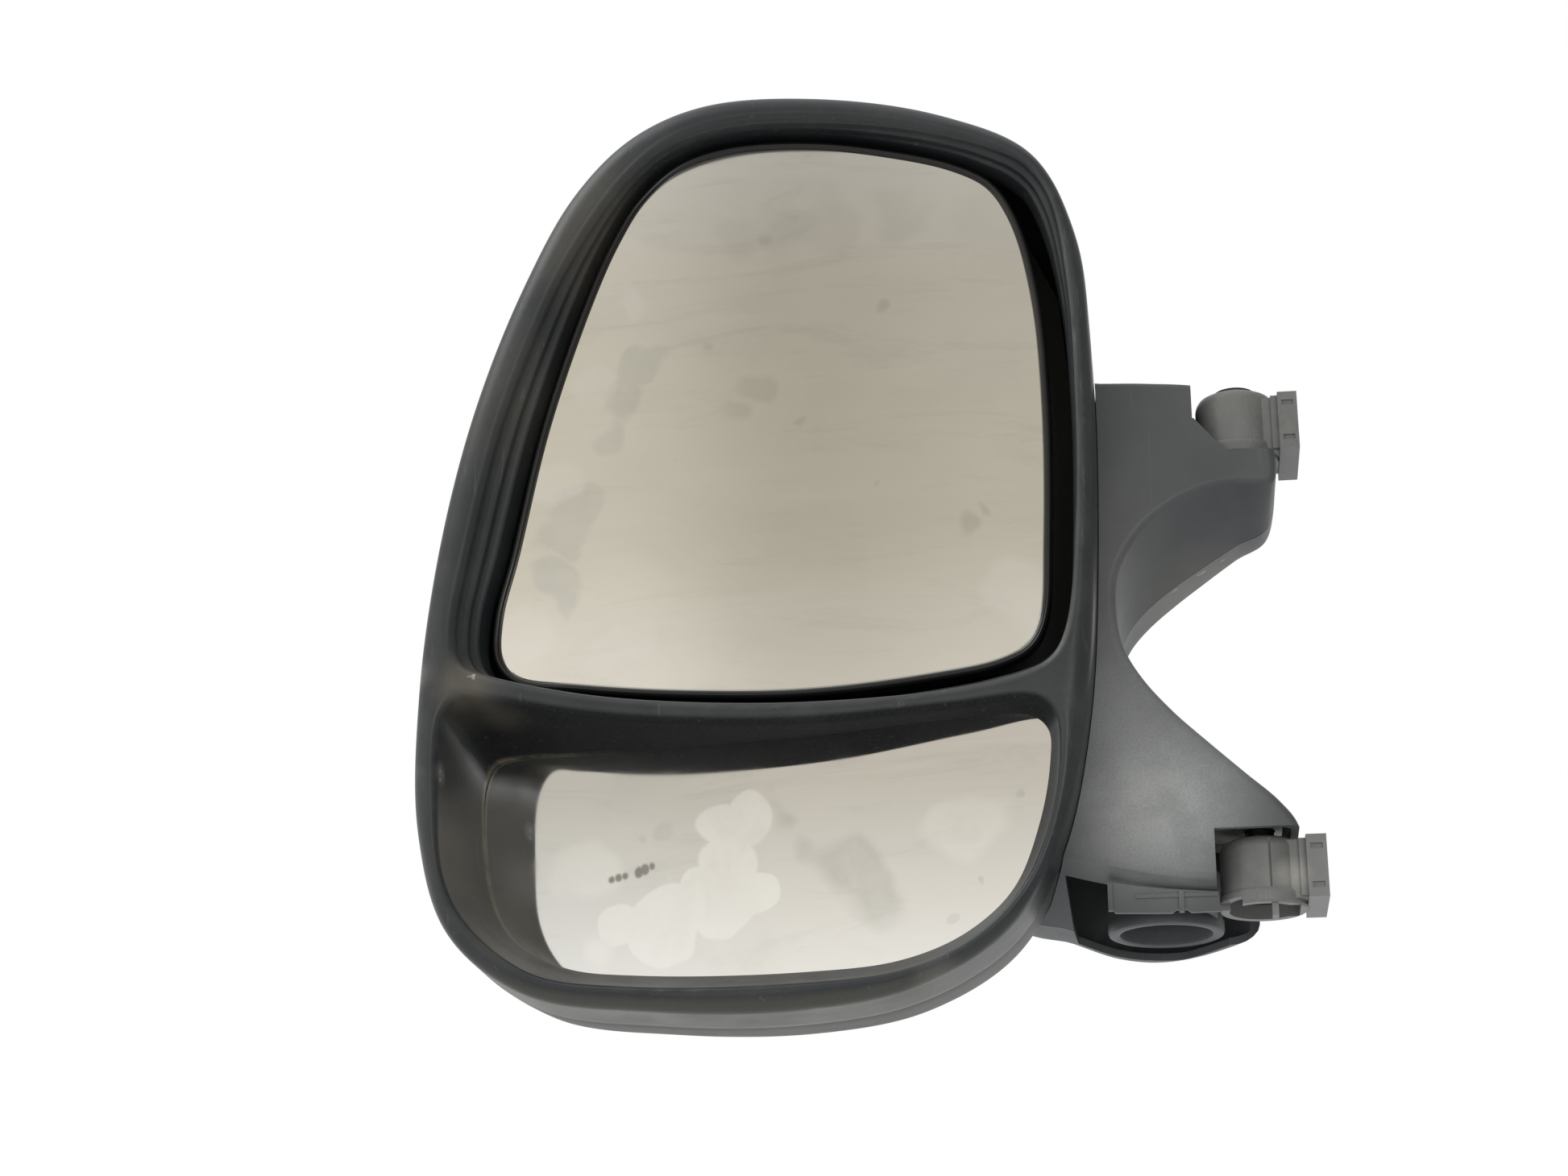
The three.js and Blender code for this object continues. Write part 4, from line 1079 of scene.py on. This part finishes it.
def make_skirt():
    """The plate in front of the sleeve, with two upright ribs and one along it."""
    skirt = plate(SKIRT_OUTLINE, -13.2, -11.2)
    ribs = [block((-51.2, -49.4), (-14.4, -12), (-14.4, -6.9)),
            block((-75.4, -73.8), (-14.2, -12), (-13.2, -3.6)),
            block((-66, -38), (-13.8, -12), (-9.2, -7.9))]
    boolean(skirt, ribs, "UNION")
    name_and_paint(skirt, "skirt_plate", mat["arm"])
    return round_edges(skirt, 0.35)


skirt = make_skirt()
stand_for(skirt, "head", "arm_skirt")


# ---- feet
def foot_drum(z0, z1):
    """The foot's upright cup: a shroud with a soft top edge and a thicker rim at its foot."""
    top = [(0, z1), (9.5, z1), (11.6, z1 - 0.3), (13.2, z1 - 1.2), (14.1, z1 - 2.6), (14.5, z1 - 4.4)]
    rim = [(14.5, z0 + 5.3), (15.1, z0 + 4.6), (15.3, z0 + 3.8), (15.3, z0 + 0.8), (14.8, z0), (0, z0)]
    return revolve("cutter", top + rim, FOLD)


def foot_cuts(z0, z1, seat_z, seams):
    """Hollow under the shroud, bores for the fold pin and the door bolts, then seams and pockets."""
    cuts = [drum(11.9, z0 - 1, z1 - 2.6, FOLD), block((-22, -9.6), (-8.4, 8.4), (z0 - 1, z1 - 3.6)),
            drum(5.4, z0 - 10, z1 + 10, FOLD, 48)]
    middle = (seat_z[0] + seat_z[1]) / 2
    for y in (-10, 10):
        cuts += [cross_rod(2.6, -6, 1, y, middle), cross_rod(4.6, -8.5, -5.2, y, middle)]
    for z in (seat_z[0] + 3.2, seat_z[1] - 5.2):
        cuts += [block((-5.6, -1.4), y, (z, z + 2)) for y in ((-17, -15.2), (15.2, 17))]
    cuts += [block((x - 0.4, x + 0.4), (-16, -13.2), (z0 + 5.4, z1 - 1.2)) for x in seams]
    cuts.append(block((-37, -29.5), (-17, -3), (z0 - 1, z0 + 2.4)))
    return cuts


def make_foot(name, z0, z1, seat_z, seams, rib):
    """A cup round the fold pin, a neck and a flat seat, with two gussets and a rib that may reach below."""
    foot = foot_drum(z0, z1)
    neck_top = min(seat_z[1], z1 - 2)
    solids = [block((-22, -6), (-11, 11), (seat_z[0] + 1, neck_top)), block((-7, 0), (-16, 16), seat_z)]
    boolean(foot, solids, "UNION")
    boolean(foot, foot_cuts(z0, z1, seat_z, seams))
    ribs = [block((-9.4, -6.6), y, (seat_z[0] + 1.5, neck_top)) for y in ((-12.8, -10.6), (10.6, 12.8))]
    ribs.append(block((-19.6, -17.4), (-13.4, -8.2), (z0 - rib, z0 + 3)))
    boolean(foot, ribs, "UNION")
    name_and_paint(foot, name, mat["foot"])
    return round_edges(foot, 0.7, 3, 30)


lower_foot = make_foot("lower_foot_shell", -12, 12.5, (-11, 11), (-19.5,), 4.5)
stand_for(lower_foot, "feet", "lower_foot")
upper_foot = make_foot("upper_foot_shell", 155, 181, (155, 177), (-30, -15.5), 0)
stand_for(upper_foot, "feet", "upper_foot")


# ---- carried-over CAD nodes
LOOKS = {
    "inner": ("carrier_plate", "gimbal_ring", "actuator_base", "actuator_cover", "pan_jack_screw",
              "tilt_jack_screw"),
    "holder": ("lower_glass_backing",),
    "film": ("heater_pad",),
    "alloy": ("arm_frame",),
    "pin": ("lower_pivot_pin", "upper_pivot_pin"),
}
LOOK_OF = {name: key for key, names in LOOKS.items() for name in names}
for name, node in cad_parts.items():
    node.data.materials.clear()
    node.data.materials.append(mat[LOOK_OF.get(name, "steel")])


# ---- stage, camera, light
def make_floor():
    build = Build()
    corners = ((-2200, -2000), (1800, -2000), (1800, 2000), (-2200, 2000))
    build.faces.append(tuple(build.add([(x, y, FLOOR_Z) for x, y in corners])))
    n = Surface("studio_floor")
    material = n.done(n.mix(n.noise(1.5, 3), (0.78, 0.78, 0.77), (0.84, 0.84, 0.83)), 0.7)
    build.object("floor", material)


CAMERA_TARGET = Vector((-184, -45, 99.5)) * MM
AZIMUTH, ELEVATION = math.radians(8), math.radians(-20)
CAMERA_DISTANCE = 1.0       # metres


def make_camera():
    back = Vector((math.sin(AZIMUTH) * math.cos(ELEVATION), -math.cos(AZIMUTH) * math.cos(ELEVATION),
                   math.sin(ELEVATION)))
    data = bpy.data.cameras.new("camera")
    data.lens = 65
    data.sensor_width = 36
    camera = bpy.data.objects.new("camera", data)
    camera.location = CAMERA_TARGET + back * CAMERA_DISTANCE
    camera.rotation_euler = back.to_track_quat("Z", "Y").to_euler()
    bpy.context.scene.collection.objects.link(camera)
    bpy.context.scene.camera = camera


# the driver's side by height of the direction, from straight down (0) to straight up (1): share, colour
SKY = (
    (0.0, (0.22, 0.215, 0.2)), (0.4, (0.42, 0.41, 0.38)), (0.5, (0.86, 0.84, 0.79)),
    (0.6, (0.6, 0.575, 0.515)), (0.66, (0.46, 0.43, 0.365)), (0.74, (0.42, 0.395, 0.34)),
    (0.85, (0.5, 0.5, 0.49)), (1.0, (0.8, 0.82, 0.85)),
)


def sky_bands(n):
    bands = n.new("ShaderNodeValToRGB")
    n.link(n.ramp(n.axis("Z"), -1.0, 1.0, smooth=False), bands.inputs["Fac"])
    stops = bands.color_ramp.elements
    while len(stops) < len(SKY):
        stops.new(0.5)
    for stop, (share, color) in zip(stops, SKY):
        stop.position = share
        stop.color = (*color, 1)
    return bands.outputs["Color"]


def make_world():
    """White behind the object. On the driver's side, which the glasses reflect: a sky that varies by height
    and is brighter towards the left."""
    world = bpy.data.worlds.new("studio")
    bpy.context.scene.world = world
    world.use_nodes = True
    n = Nodes(world.node_tree, "Generated")
    bright = n.mix(n.ramp(n.axis("X"), -0.26, -0.12), (1.36, 1.36, 1.38), (0.99, 0.98, 0.97))
    bright = n.mix(n.ramp(n.axis("X"), -0.1, 0.03), bright, (1.12, 1.12, 1.12))
    bright = n.mix(n.ramp(n.axis("X"), -0.6, -0.42), (1.3, 1.33, 1.4), bright)
    bright = n.mix(n.ramp(n.axis("X"), 0.25, 0.7), bright, (0.5, 0.5, 0.51))
    front = n.mix(1.0, sky_bands(n), bright, "MULTIPLY")
    color = n.mix(n.ramp(n.axis("Y"), 0.56, 0.77), front, (1.0, 1.0, 1.0))
    shade = n.tree.nodes["Background"]
    n.link(color, shade.inputs["Color"])
    shade.inputs["Strength"].default_value = 1.0
    bpy.context.scene.view_settings.view_transform = "Standard"


def add_light(name, place, target, size, power):
    """A soft square lamp; place, target and size in metres, power in watts."""
    data = bpy.data.lights.new(name, "AREA")
    data.size = size
    data.energy = power
    light = bpy.data.objects.new(name, data)
    light.location = place
    light.rotation_euler = (Vector(place) - Vector(target)).to_track_quat("Z", "Y").to_euler()
    light.visible_camera = False
    bpy.context.scene.collection.objects.link(light)


make_floor()
make_camera()
make_world()
add_light("key_left", (-0.9, -0.35, 1.0), (-0.2, 0, 0.1), 0.7, 4)
add_light("low_front", (0.3, -1.3, 0.15), (-0.1, 0, 0.05), 0.4, 2)

bpy.context.view_layer.update()
